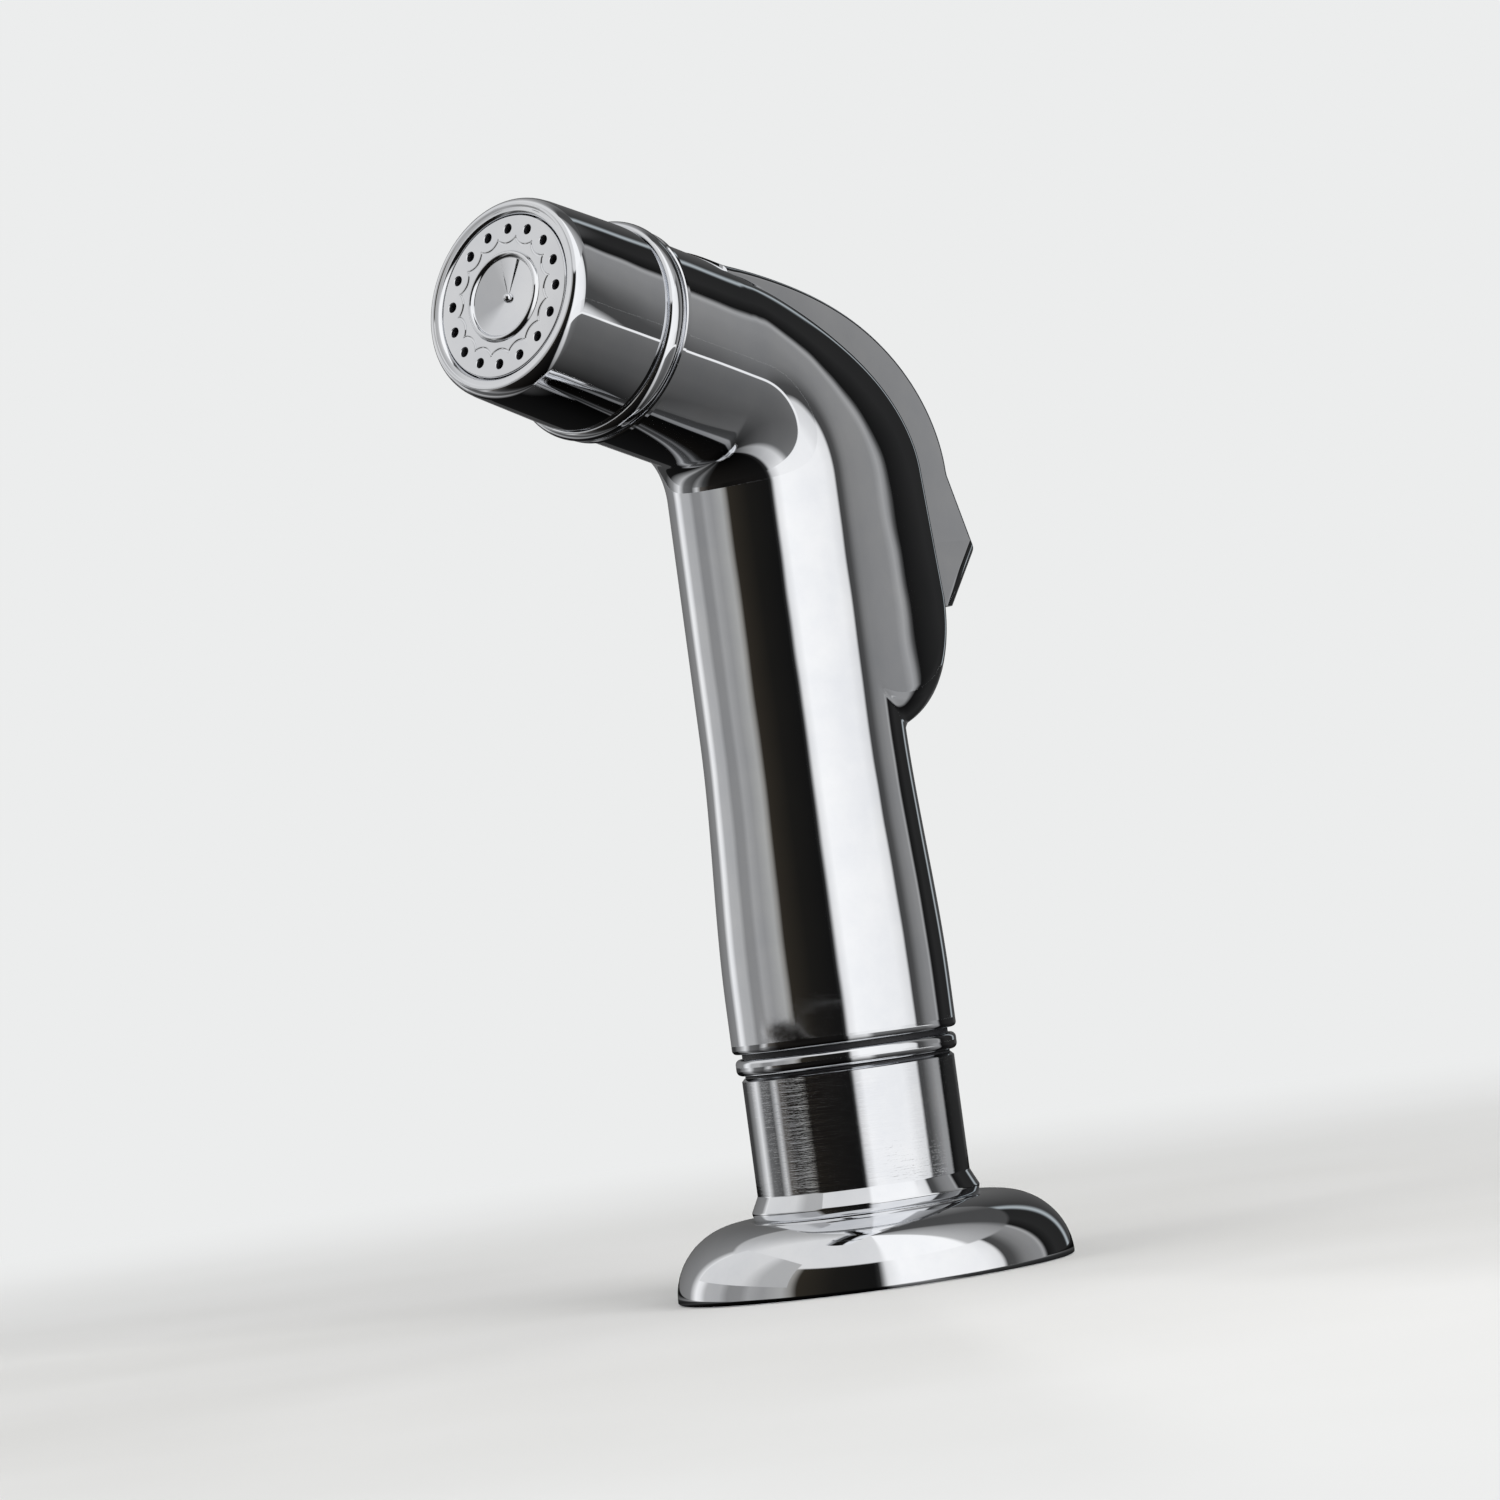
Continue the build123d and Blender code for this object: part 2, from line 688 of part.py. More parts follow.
with BuildPart() as thumb_lever:
    add(lever_block(0, 0))
    add(lever_block(lever_wall, 2 * skirt_overlap), mode=Mode.SUBTRACT)
    add(press_pad.part)
    for side in (-1, 1):
        with BuildSketch(Plane.YZ.offset(side * lug_inside)):
            with Locations(pivot):
                Circle(lug_radius)
        extrude(amount=side * (lever_half_width - lug_inside))
    with BuildSketch(Plane.YZ):
        with Locations(pivot):
            Circle(pin_radius + run_fit)
    extrude(amount=lever_half_width, both=True, mode=Mode.SUBTRACT)
finish(thumb_lever, "thumb_lever")

with BuildPart() as lever_pin:
    with BuildSketch(Plane.YZ):
        with Locations(pivot):
            Circle(pin_radius)
    extrude(amount=pin_half_length, both=True)
finish(lever_pin, "lever_pin")

# ================= spray head =================
with BuildPart() as head_adapter:
    with BuildSketch(head_section):
        with BuildLine():
            Polyline((adapter_bore, -gasket_back), (adapter_radius, -gasket_back), (adapter_radius, -ring_back),
                     (head_spigot_radius, -ring_back), (head_spigot_radius, -spigot_back),
                     (waterway_radius, -spigot_back), (waterway_radius, -screen_seat),
                     (screen_radius + slip, -screen_seat), (screen_radius + slip, -disc_seat),
                     (adapter_bore, -disc_seat), close=True)
        make_face()
        with Locations((head_spigot_radius, -head_ring_groove)):
            Rectangle(2 * groove_depth, groove_depth, mode=Mode.SUBTRACT)
    revolve(axis=head_axis)
finish(head_adapter, "head_adapter")

with BuildPart() as adapter_oring:
    with BuildSketch(head_section):
        with Locations((head_spigot_radius - ring_wire, -head_ring_groove)):
            Circle(ring_wire)
    revolve(axis=head_axis)
finish(adapter_oring, "adapter_oring")

with BuildPart() as head_ring:
    with BuildSketch(head_section) as ring_profile:
        with BuildLine():
            Polyline((adapter_radius + run_fit, -cap_back), (ring_groove_radius, -cap_back),
                     (ring_groove_radius, -bead_front), (ring_core_radius, -bead_front))
            bead = ThreePointArc((ring_core_radius, -bead_front), (bead_radius, -(bead_front + bead_back) / 2),
                                 (ring_core_radius, -bead_back))
            Polyline(bead @ 1, (ring_core_radius, -thin_rib_front), (thin_rib_radius, -thin_rib_front),
                     (thin_rib_radius, -ring_back), (adapter_radius + run_fit, -ring_back),
                     (adapter_radius + run_fit, -cap_back))
        make_face()
    revolve(axis=head_axis)
finish(head_ring, "head_ring")

with BuildPart() as spray_cap:
    with BuildSketch(head_section):
        with BuildLine():
            lip = ThreePointArc((face_radius + slip, 0), (lip_crest_radius, lip_height), (lip_radius, -lip_back))
            Polyline(lip @ 1, (cap_rear_radius, -cap_back), (cap_bore, -cap_back), (cap_bore, -face_flange_front + slip),
                     (face_radius + slip, -face_flange_front + slip), lip @ 0)
        make_face()
    revolve(axis=head_axis)
finish(spray_cap, "spray_cap")

with BuildPart() as spray_face:
    with BuildSketch(head_section):
        with BuildLine():
            Polyline((0, nub_height - dish_depth), (nub_radius, -dish_depth), (dish_radius, 0),
                     (dish_radius, hub_height), (hub_radius - 0.3, hub_height), (hub_radius, 0), (face_radius, 0),
                     (face_radius, -face_flange_front), (face_flange_radius, -face_flange_front),
                     (face_flange_radius, -face_back), (0, -face_back), close=True)
        make_face()
    revolve(axis=head_axis)
    with BuildSketch(head):
        with PolarLocations(hole_circle_radius, hole_count):
            Circle(hole_radius)
    extrude(amount=-face_back, mode=Mode.SUBTRACT)
finish(spray_face, "spray_face")

with BuildPart() as face_gasket:
    with BuildSketch(head.offset(-face_back)):
        Circle(face_flange_radius)
        Circle(gasket_bore, mode=Mode.SUBTRACT)
    extrude(amount=face_back - gasket_back)
finish(face_gasket, "face_gasket")

with BuildPart() as flow_disc:
    with BuildSketch(head.offset(-disc_seat)):
        Circle(adapter_bore - slip)
        with PolarLocations(disc_hole_circle, disc_hole_count):
            Circle(disc_hole_radius, mode=Mode.SUBTRACT)
    extrude(amount=disc_thickness)
finish(flow_disc, "flow_disc")

with BuildPart() as inlet_screen:
    with BuildSketch(head.offset(-screen_seat)):
        Circle(screen_radius)
        with GridLocations(screen_pitch, screen_pitch, 3, 3):
            Circle(screen_hole, mode=Mode.SUBTRACT)
    extrude(amount=screen_thickness)
finish(inlet_screen, "inlet_screen")
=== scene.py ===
# Kitchen hand spray with a thumb lever, standing in its flanged deck holder.
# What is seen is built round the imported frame, as are the press pad, the lever's lugs and the return
# spring. The other pieces keep their CAD nodes.
import json
import math
import bpy
import bmesh
import numpy as np
from mathutils import Matrix, Vector


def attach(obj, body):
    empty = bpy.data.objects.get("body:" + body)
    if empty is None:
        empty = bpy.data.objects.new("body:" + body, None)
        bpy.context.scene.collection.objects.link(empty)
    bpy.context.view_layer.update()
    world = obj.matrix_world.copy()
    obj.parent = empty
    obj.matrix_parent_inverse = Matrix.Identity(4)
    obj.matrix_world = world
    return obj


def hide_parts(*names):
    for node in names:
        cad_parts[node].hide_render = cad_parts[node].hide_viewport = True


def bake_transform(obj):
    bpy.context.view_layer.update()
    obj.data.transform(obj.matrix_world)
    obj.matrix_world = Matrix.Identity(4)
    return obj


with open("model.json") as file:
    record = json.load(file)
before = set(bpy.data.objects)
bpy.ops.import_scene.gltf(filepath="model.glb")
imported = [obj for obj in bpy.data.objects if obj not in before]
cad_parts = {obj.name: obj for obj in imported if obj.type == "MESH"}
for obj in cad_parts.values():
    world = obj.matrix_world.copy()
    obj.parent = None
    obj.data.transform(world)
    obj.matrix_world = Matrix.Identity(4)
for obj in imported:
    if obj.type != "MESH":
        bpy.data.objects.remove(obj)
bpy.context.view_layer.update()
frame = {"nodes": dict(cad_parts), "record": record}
print("frame loaded:", len(frame["nodes"]), "nodes")

mm = 0.001
scene = bpy.context.scene
weldDistance = 1e-6

# the spray body: lengths in mm, as in the part's source
spray = {"tubeRadius": 14.2, "footRadius": 15.55, "footRound": 0.6, "foot": 33.0, "gripStart": 40.0, "gripEnd": 76.0,
         "crotchRadius": 4.1, "cornerHeight": 123.3, "headTilt": 16.0, "faceReach": 50.8, "ringBack": 20.8,
         "bore": 11.5, "boreTop": 95.0, "boreChamfer": 0.3, "neckBore": 8.05, "neckBoreDepth": 7.3}
housing = {"halfWidth": 10.3, "neckHalfWidth": 8.9, "corner": 5.5, "front": 11.1, "shoulder": 22.5,
           "slope": 0.085, "sharpness": 1.7, "frontAlong": 26.0, "chinHeight": 92.2, "chinDepth": 6.0, "blend": 0.6}
lever = {"halfWidth": 8.5, "wall": 1.6, "front": 11.9, "shoulder": 29.0, "slope": 0.37, "sharpness": 1.55,
         "frontAlong": 29.9, "frontCrown": 2.7, "tipCrown": 1.2, "frontRound": 12.0, "tipDepth": 34.0,
         "tipHeight": 97.7, "endSlant": 50.0, "endCorner": 3.2, "footHeight": 91.0, "skirt": 2.0, "edge": 0.7,
         "press": 4.0, "gap": 0.5, "pocketGap": 0.8, "pocketEnd": 88.3, "pocketTop": 46.0,
         "pivotAlong": 21.7, "pivotHeight": 8.8}
valve = {"height": 104.0, "chamber": 6.5, "inlet": -8.0, "seat": 17.5, "spot": 7.8, "toolEnd": 34.0}

bendTurn = math.radians(90 - spray["headTilt"])
bendRadius = spray["tubeRadius"] + spray["crotchRadius"]
bendLength = bendRadius * bendTurn
bendTangent = bendRadius * math.tan(bendTurn / 2)
bendStart = spray["cornerHeight"] - bendTangent
faceAlong = bendLength + spray["faceReach"] - bendTangent
neckEnd = faceAlong - spray["ringBack"]


def toLinear(hexColour):
    parts = [int(hexColour[i:i + 2], 16) / 255 for i in (1, 3, 5)]
    return [c / 12.92 if c <= 0.04045 else ((c + 0.055) / 1.055) ** 2.4 for c in parts] + [1.0]


def addNode(tree, kind, settings=None, links=None):
    node = tree.nodes.new(kind)
    for key, value in (settings or {}).items():
        if isinstance(key, str) and hasattr(node, key):
            setattr(node, key, value)
        else:
            node.inputs[key].default_value = value
    for key, source in (links or {}).items():
        tree.links.new(source, node.inputs[key])
    return node


noiseSpan = {"From Min": 0.3, "From Max": 0.7}


# turns noise from its usual span into low-high
def spread(tree, source, low, high):
    return addNode(tree, "ShaderNodeMapRange", {**noiseSpan, "To Min": low, "To Max": high},
                   {"Value": source}).outputs["Result"]


# object coordinates in mm, so that every scale below is one over a real size in mm
def millimetres(tree):
    place = addNode(tree, "ShaderNodeTexCoord")
    return addNode(tree, "ShaderNodeVectorMath", {"operation": "SCALE", "Scale": 1000.0},
                   {0: place.outputs["Object"]}).outputs["Vector"]


def newMaterial(name):
    material = bpy.data.materials.new(name)
    material.use_nodes = True
    tree = material.node_tree
    shader = tree.nodes["Principled BSDF"]
    return material, tree, shader


# 0-1 as a value runs from low to high
def ramped(tree, value, low, high):
    return addNode(tree, "ShaderNodeMapRange", {"From Min": low, "From Max": high}, {"Value": value}).outputs[0]


# noise at a real size in mm
def noise(tree, place, size, detail, roughness=0.5):
    return addNode(tree, "ShaderNodeTexNoise", {"Scale": 1 / size, "Detail": detail, "Roughness": roughness},
                   {"Vector": place}).outputs["Fac"]


def stretched(tree, place, stretch):
    return addNode(tree, "ShaderNodeVectorMath", {"operation": "MULTIPLY", 1: stretch}, {0: place}).outputs["Vector"]


# base colour between two close colours, by noise
def tintBy(tree, shader, source, dark, light):
    tint = addNode(tree, "ShaderNodeMix", {"data_type": "RGBA", 6: toLinear(dark), 7: toLinear(light)},
                   {0: spread(tree, source, 0.0, 1.0)})
    tree.links.new(tint.outputs[2], shader.inputs["Base Color"])


# bump as deep as the given millimetres, over another if there is one
def relief(tree, height, depth, under=None):
    links = {"Height": height} if under is None else {"Height": height, "Normal": under}
    return addNode(tree, "ShaderNodeBump", {"Strength": 1.0, "Distance": depth * mm}, links).outputs[0]


# one grain in the gloss and in the relief
def grained(tree, shader, grain, roughness, depth):
    tree.links.new(spread(tree, grain, *roughness), shader.inputs["Roughness"])
    tree.links.new(relief(tree, grain, depth), shader.inputs["Normal"])


chrome = {"film": 9.0, "fine": 0.6, "fineGloss": 0.01, "mark": 0.5, "markStretch": (0.1, 0.1, 1.0),
          "cleanBelow": 12.0, "markedAbove": 14.0}


# Decorative chrome: a mirror with a cool tint. Moulded ABS shows a faint long ripple under it,
# turned brass the fine rings of the lathe. A thin film changes the gloss and a little of the tint.
def chromeFinish(name, ripple, rippleSize, latheDepth=0.0, roughness=(0.012, 0.035)):
    material, tree, shader = newMaterial(name)
    shader.inputs["Metallic"].default_value = 1.0
    place = millimetres(tree)
    film = noise(tree, place, chrome["film"], 4.0, 0.6)
    tintBy(tree, shader, film, "#dfe1e5", "#e9eaec")
    gloss = addNode(tree, "ShaderNodeMath", {"operation": "ADD"},
                    {0: spread(tree, film, *roughness),
                     1: spread(tree, noise(tree, place, chrome["fine"], 3.0), 0.0, chrome["fineGloss"])})
    tree.links.new(gloss.outputs[0], shader.inputs["Roughness"])
    bump = relief(tree, noise(tree, place, rippleSize, 1.0), ripple)
    if latheDepth:
        # lathe feed marks, drawn 0.5 mm apart so that they show, each a few millimetres long
        marks = noise(tree, stretched(tree, place, chrome["markStretch"]), chrome["mark"], 4.0, 0.7)
        # the flare at the foot is polished clean of them
        height = addNode(tree, "ShaderNodeSeparateXYZ", {}, {0: place}).outputs["Z"]
        clean = ramped(tree, height, chrome["cleanBelow"], chrome["markedAbove"])
        kept = addNode(tree, "ShaderNodeMath", {"operation": "MULTIPLY"}, {0: marks, 1: clean})
        bump = relief(tree, kept.outputs[0], latheDepth, bump)
    tree.links.new(bump, shader.inputs["Normal"])
    return material


mattPatch = 7.0


# Matt moulded or rubber surface: two close colours in soft patches, grain in the gloss and the relief
def mattFinish(name, dark, light, roughness, grain, depth):
    material, tree, shader = newMaterial(name)
    place = millimetres(tree)
    tintBy(tree, shader, noise(tree, place, mattPatch, 3.0), dark, light)
    grained(tree, shader, noise(tree, place, grain, 4.0, 0.6), roughness, depth)
    return material


metal = {"lineStretch": 0.06, "cloud": 5.0}


# Bare metal that was turned or drawn: fine lines along one axis in the gloss and the relief
def workedMetal(name, dark, light, roughness, lineAxis, lineSize, depth):
    material, tree, shader = newMaterial(name)
    shader.inputs["Metallic"].default_value = 1.0
    place = millimetres(tree)
    stretch = [1.0 if across else metal["lineStretch"] for across in lineAxis]
    tintBy(tree, shader, noise(tree, place, metal["cloud"], 3.0), dark, light)
    grained(tree, shader, noise(tree, stretched(tree, place, stretch), lineSize, 4.0, 0.65), roughness, depth)
    return material


finishes = {
    "chromed_plastic": chromeFinish("chrome_plated_abs", 0.10, 13.0),
    "chromed_brass": chromeFinish("chromed_cast_brass", 0.02, 9.0),
    "turned_chrome": chromeFinish("chromed_turned_brass", 0.012, 9.0, latheDepth=0.006, roughness=(0.015, 0.04)),
    "black_rubber": mattFinish("nitrile_rubber", "#141414", "#1f1f1f", (0.62, 0.85), 0.5, 0.03),
    "black_plastic": mattFinish("black_acetal_and_painted_bore_shade", "#17171a", "#222226", (0.38, 0.55), 0.4, 0.01),
    "grey_plastic": mattFinish("grey_acetal", "#63666a", "#717478", (0.40, 0.58), 0.4, 0.01),
    "white_plastic": mattFinish("natural_acetal", "#dcdad0", "#e8e6de", (0.35, 0.52), 0.4, 0.01),
    "zinc_steel": workedMetal("zinc_plated_steel", "#a9adb0", "#c3c6c8", (0.30, 0.48), (1, 0, 0), 0.4, 0.01),
    "spring_steel": workedMetal("drawn_stainless", "#9c9c9c", "#b4b4b4", (0.22, 0.36), (0, 0, 1), 0.3, 0.006),
    "yellow_brass": workedMetal("turned_yellow_brass", "#c69a4d", "#d9b268", (0.16, 0.30), (0, 0, 1), 0.35, 0.008),
}
print("finishes:", len(finishes))


# place of a point beside the spray's centreline: length along it, side and height, all in mm
def beside(along, side, height):
    along, side, height = np.broadcast_arrays(along, side, height)
    swung = np.clip(along, 0, bendLength) / bendRadius
    straight = along - swung * bendRadius
    y = bendRadius * (np.cos(swung) - 1) - straight * np.sin(swung) + height * np.cos(swung)
    z = bendStart + bendRadius * np.sin(swung) + straight * np.cos(swung) + height * np.sin(swung)
    return np.stack([side + 0 * y, y, z], -1)


def backHeight(along, form):
    share = np.clip(1 - along / form["frontAlong"], 0, None) ** form["sharpness"]
    rise = form["front"] + (form["shoulder"] - form["front"]) * share * share * (3 - 2 * share)
    return np.where(along <= 0, form["shoulder"] - form["slope"] * along, rise)


# rings of points, each ring one row; closes the rows round and caps both ends or none
def ringMesh(name, rings, caps=True, sharp=40.0):
    rings = np.asarray(rings, float)
    rows, columns = rings.shape[:2]
    verts = (rings * mm).reshape(-1, 3)
    faces = []
    for i in range(rows - 1):
        for j in range(columns):
            k = (j + 1) % columns
            faces.append((i * columns + j, i * columns + k, (i + 1) * columns + k, (i + 1) * columns + j))
    if caps:
        faces.append(tuple(range(columns - 1, -1, -1)))
        faces.append(tuple((rows - 1) * columns + j for j in range(columns)))
    return meshObject(name, verts, faces, sharp)


def meshObject(name, verts, faces, sharp=40.0):
    mesh = bpy.data.meshes.new(name)
    mesh.from_pydata([tuple(v) for v in verts], [], faces)
    work = bmesh.new()
    work.from_mesh(mesh)
    bmesh.ops.remove_doubles(work, verts=work.verts, dist=weldDistance)
    bmesh.ops.recalc_face_normals(work, faces=work.faces)
    work.to_mesh(mesh)
    work.free()
    piece = bpy.data.objects.new(name, mesh)
    scene.collection.objects.link(piece)
    smoothUp(piece, sharp)
    return piece


def smoothUp(piece, sharp):
    mesh = piece.data
    mesh.polygons.foreach_set("use_smooth", [True] * len(mesh.polygons))
    mesh.set_sharp_from_angle(angle=math.radians(sharp))


# cuts one closed mesh from another, or keeps what they share, and leaves a plain mesh
def carve(piece, tool, operation="DIFFERENCE", sharp=40.0):
    cut = piece.modifiers.new("cut", "BOOLEAN")
    cut.operation, cut.object, cut.solver = operation, tool, "EXACT"
    bpy.context.view_layer.update()
    shown = piece.evaluated_get(bpy.context.evaluated_depsgraph_get())
    mesh = bpy.data.meshes.new_from_object(shown)
    piece.modifiers.clear()
    old = piece.data
    piece.data = mesh
    bpy.data.meshes.remove(old)
    bpy.data.objects.remove(tool)
    smoothUp(piece, sharp)


# a corner of a profile rounded by a few points
def rounded(points, radii, steps=6):
    out = []
    count = len(points)
    for i, (p, r) in enumerate(zip(points, radii)):
        if not r or i in (0, count - 1):
            out.append(tuple(p))
            continue
        p, a, b = Vector(p), Vector(points[i - 1]), Vector(points[i + 1])
        u, v = (a - p).normalized(), (b - p).normalized()
        half = math.acos(max(-1, min(1, u.dot(v)))) / 2
        back = min(r / math.tan(half), 0.49 * (a - p).length, 0.49 * (b - p).length)
        reach = back * math.tan(half)
        centre = p + (u + v).normalized() * (reach / math.sin(half))
        start, end = p + u * back, p + v * back
        sweep = (start - centre).angle(end - centre)
        turn = 1 if (start - centre).cross(end - centre) > 0 else -1
        for s in range(steps + 1):
            t = turn * sweep * s / steps
            d = start - centre
            out.append((centre.x + d.x * math.cos(t) - d.y * math.sin(t),
                        centre.y + d.x * math.sin(t) + d.y * math.cos(t)))
    return out


def fullTurn(count):
    return np.arange(count) * 2 * math.pi / count


def circleRow(radius, height, angles):
    return [(radius * math.cos(a), radius * math.sin(a), height) for a in angles]


# turned piece: profile of (radius, height) points in mm round the upright axis, closed on itself
def turned(name, profile, count=256, sharp=35.0):
    angles = fullTurn(count)
    return ringMesh(name, [circleRow(r, h, angles) for r, h in profile + profile[:1]], caps=False, sharp=sharp)


# moves an upright turned piece so that its zero is the spray face and its height points out of it
faceCentre = beside(faceAlong, 0.0, 0.0)
headFrame = Matrix(((1, 0, 0, faceCentre[0] * mm),
                    (0, math.cos(bendTurn), -math.sin(bendTurn), faceCentre[1] * mm),
                    (0, math.sin(bendTurn), math.cos(bendTurn), faceCentre[2] * mm),
                    (0, 0, 0, 1)))
valveFrame = Matrix(((1, 0, 0, 0), (0, 0, 1, 0), (0, -1, 0, valve["height"] * mm), (0, 0, 0, 1)))


def placed(piece, matrix):
    piece.data.transform(matrix)
    return piece


def finish(piece, body, slotName, nodes=(), look=None):
    piece.data.materials.clear()
    piece.data.materials.append(finishes[look or slotName])
    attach(piece, body)
    if nodes:
        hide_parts(*nodes)
    return piece


flangeForm = {"radius": 27.5, "crest": 10.0, "crestRadius": 17.5, "edge": 0.3, "wall": 2.3, "seat": 9.4, "boss": 15.6,
              "bore": 14.4, "gasket": 1.5}
collarForm = {"radius": 14.72, "flare": 15.8, "flareTop": 13.3, "top": 29.6, "chamfer": 0.4, "bore": 12.9,
              "floor": 11.0, "shank": 13.4, "thread": 14.3, "shankBore": 10.6, "shankEnd": -66.0, "threadStart": -28.5,
              "threadRound": 0.8, "pitch": 1.5, "turnRows": 8, "threadDepth": 0.7, "runIn": 1.5, "fade": 2,
              "flank": 1.25, "land": 0.12, "seat": flangeForm["seat"]}


def flangeProfile(form):
    span, rise = form["radius"] - form["crestRadius"], form["crest"] - form["edge"]
    dome = [(form["crestRadius"] + span * math.cos(t), form["edge"] + rise * math.sin(t))
            for t in np.linspace(0, math.pi / 2, 40)]
    inner = form["radius"] - form["wall"]
    low = form["seat"] - form["wall"] - form["gasket"]
    under = [(form["crestRadius"] + (inner - form["crestRadius"]) * math.cos(t), form["gasket"] + low * math.sin(t))
             for t in np.linspace(math.pi / 2, 0, 16)]
    lip = [(form["boss"] + 0.7, form["crest"] - 0.04), (form["boss"] + 0.25, form["crest"] - 0.16),
           (form["boss"], form["crest"] - 0.45)]
    return (dome + lip + [(form["boss"], form["seat"]), (form["bore"], form["seat"]),
                          (form["bore"], form["seat"] - form["wall"])] + under
            + [(inner, 0.0), (form["radius"] - 0.12, 0.0), (form["radius"], 0.12)])


finish(turned("flange_dome", flangeProfile(flangeForm)), "holder", "chromed_brass", ["flange"])


def collarRings(form, count=192):
    angles = fullTurn(count)
    flare = rounded([(form["flare"] - 0.4, form["seat"]), (form["flare"] - 0.25, form["seat"] + 0.6),
                     (form["flare"], form["seat"] + 1.7), (form["radius"], form["flareTop"]),
                     (form["radius"], form["flareTop"] + 2)], (0, 0, 0.5, 0.3, 0))[:-1]
    outside = [(form["bore"], form["top"]), (form["radius"] - form["chamfer"], form["top"]),
               (form["radius"], form["top"] - form["chamfer"])] + flare[::-1]
    start, r = form["threadStart"], form["threadRound"]
    shoulder = [(form["thread"] - r + r * math.sin(t), start - r + r * math.cos(t))
                for t in np.linspace(0, 1.5, 8)]
    plain = outside + [(form["shank"], form["seat"]), (form["shank"], start)] + shoulder
    rows = [circleRow(r, z, angles) for r, z in plain]
    # the shank's thread is one helix, cut inwards from its outer size
    height = start - form["runIn"]
    while height > form["shankEnd"] + 1:
        phase = (height / form["pitch"] - angles / (2 * math.pi)) % 1.0
        fade = min(1.0, (start - form["runIn"] - height) / form["fade"],
                   (height - form["shankEnd"]) / form["fade"])
        cut = form["threadDepth"] * fade * np.clip(form["flank"] * np.abs(2 * phase - 1) - form["land"], 0, 1)
        rows.append([((form["thread"] - c) * math.cos(a), (form["thread"] - c) * math.sin(a), height)
                     for a, c in zip(angles, cut)])
        height -= form["pitch"] / form["turnRows"]
    inside = [(form["thread"] - 0.8, form["shankEnd"]), (form["shankBore"] + 0.3, form["shankEnd"]),
              (form["shankBore"], form["shankEnd"] + 0.3), (form["shankBore"], form["floor"]),
              (form["bore"], form["floor"]), (form["bore"], form["top"])]
    return rows + [circleRow(r, z, angles) for r, z in inside]


collar = ringMesh("holder_collar", collarRings(collarForm), caps=False, sharp=35.0)
finish(collar, "holder", "chromed_brass", ["holder_sleeve"], look="turned_chrome")

linerForm = [(11.5, 30.0), (14.05, 30.0), (14.2, 29.85), (14.2, 29.6), (12.8, 29.6), (12.8, 12.0), (10.2, 12.0),
             (10.2, 14.0)]
finish(turned("guide_liner", linerForm), "holder", "black_plastic", ["holder_liner"])
print("deck holder built")

coupling = {"radius": 15.3, "bottom": 30.0, "top": 32.3, "round": 0.75, "bore": 8.05, "washerRadius": 14.28}


def bandProfile(bore, radius, bottom, top):
    return [(bore, bottom), (radius, bottom), (radius, top), (bore, top)]


band = rounded(bandProfile(coupling["bore"], coupling["radius"], coupling["bottom"], coupling["top"]),
               (0, coupling["round"], coupling["round"], 0), 8)
finish(turned("coupling_band", band), "hose_coupling", "chromed_brass", ["coupling_ring"])
washer = bandProfile(coupling["bore"], coupling["washerRadius"], coupling["top"], spray["foot"])
finish(turned("slip_washer", washer), "hose_coupling", "black_plastic", ["thrust_washer"])
print("hose coupling built")


# signed distance, negative inside, of the tube and the valve housing in a section square to the centreline
def sectionField(side, height, along):
    z = bendStart + along
    share = np.clip((z - spray["gripStart"]) / (spray["gripEnd"] - spray["gripStart"]), 0, 1)
    radius = spray["footRadius"] - (spray["footRadius"] - spray["tubeRadius"]) * share * share * (3 - 2 * share)
    tube = np.hypot(side, height) - radius
    # the flanks are arcs that leave the tube's sides without a crease and lean in to the back
    drop = np.clip(housing["chinHeight"] - z, 0, None)
    top = backHeight(np.maximum(along, housing["chinHeight"] - bendStart), housing)
    forward = np.clip(along, 0, None) / housing["frontAlong"]
    half = housing["halfWidth"] + (housing["neckHalfWidth"] - housing["halfWidth"]) * np.clip(forward, 0, 1)
    inset = spray["tubeRadius"] - half
    bow = (top ** 2 + inset ** 2) / (2 * inset)
    reach = np.hypot(np.abs(side) - spray["tubeRadius"] + bow, height)
    flank = reach - bow
    # below the chin's centre the back curls round into the handle
    curl = np.hypot(height - housing["chinDepth"], drop)
    crown = np.where(drop > 0, curl - (top - housing["chinDepth"]), height - top)
    corner = housing["corner"]
    a, b = flank + corner, crown + corner
    facing = height / reach * np.where(drop > 0, (height - housing["chinDepth"]) / np.maximum(curl, 0.01), 1.0)
    between = (a > b * facing) & (b > a * facing) & (a > 0) & (b > 0)
    cornerArc = np.sqrt(np.clip(a * a + b * b - 2 * a * b * facing, 0, None) / (1 - facing ** 2)) - corner
    block = np.where(between, cornerArc, np.maximum(flank, crown))
    # the housing is only on the back, and its front end is under the tube
    block = np.where((height < 0) | (along > housing["frontAlong"]), 9.0, block)
    # soft union under the chin, where its edge meets the tube
    blend = 0.01 + housing["blend"] * np.clip((drop - 6) / 6, 0, 1) * np.clip((height - 2) / 4, 0, 1)
    mix = np.clip(0.5 + 0.5 * (block - tube) / blend, 0, 1)
    return block + (tube - block) * mix - blend * mix * (1 - mix)


bodyGrid = {"backWeight": 1.6, "backSpread": 0.9, "chinDrop": 17, "chinSpan": 5, "coarseFrom": 30,
            "reach": (8.0, 40.0), "halvings": 34}


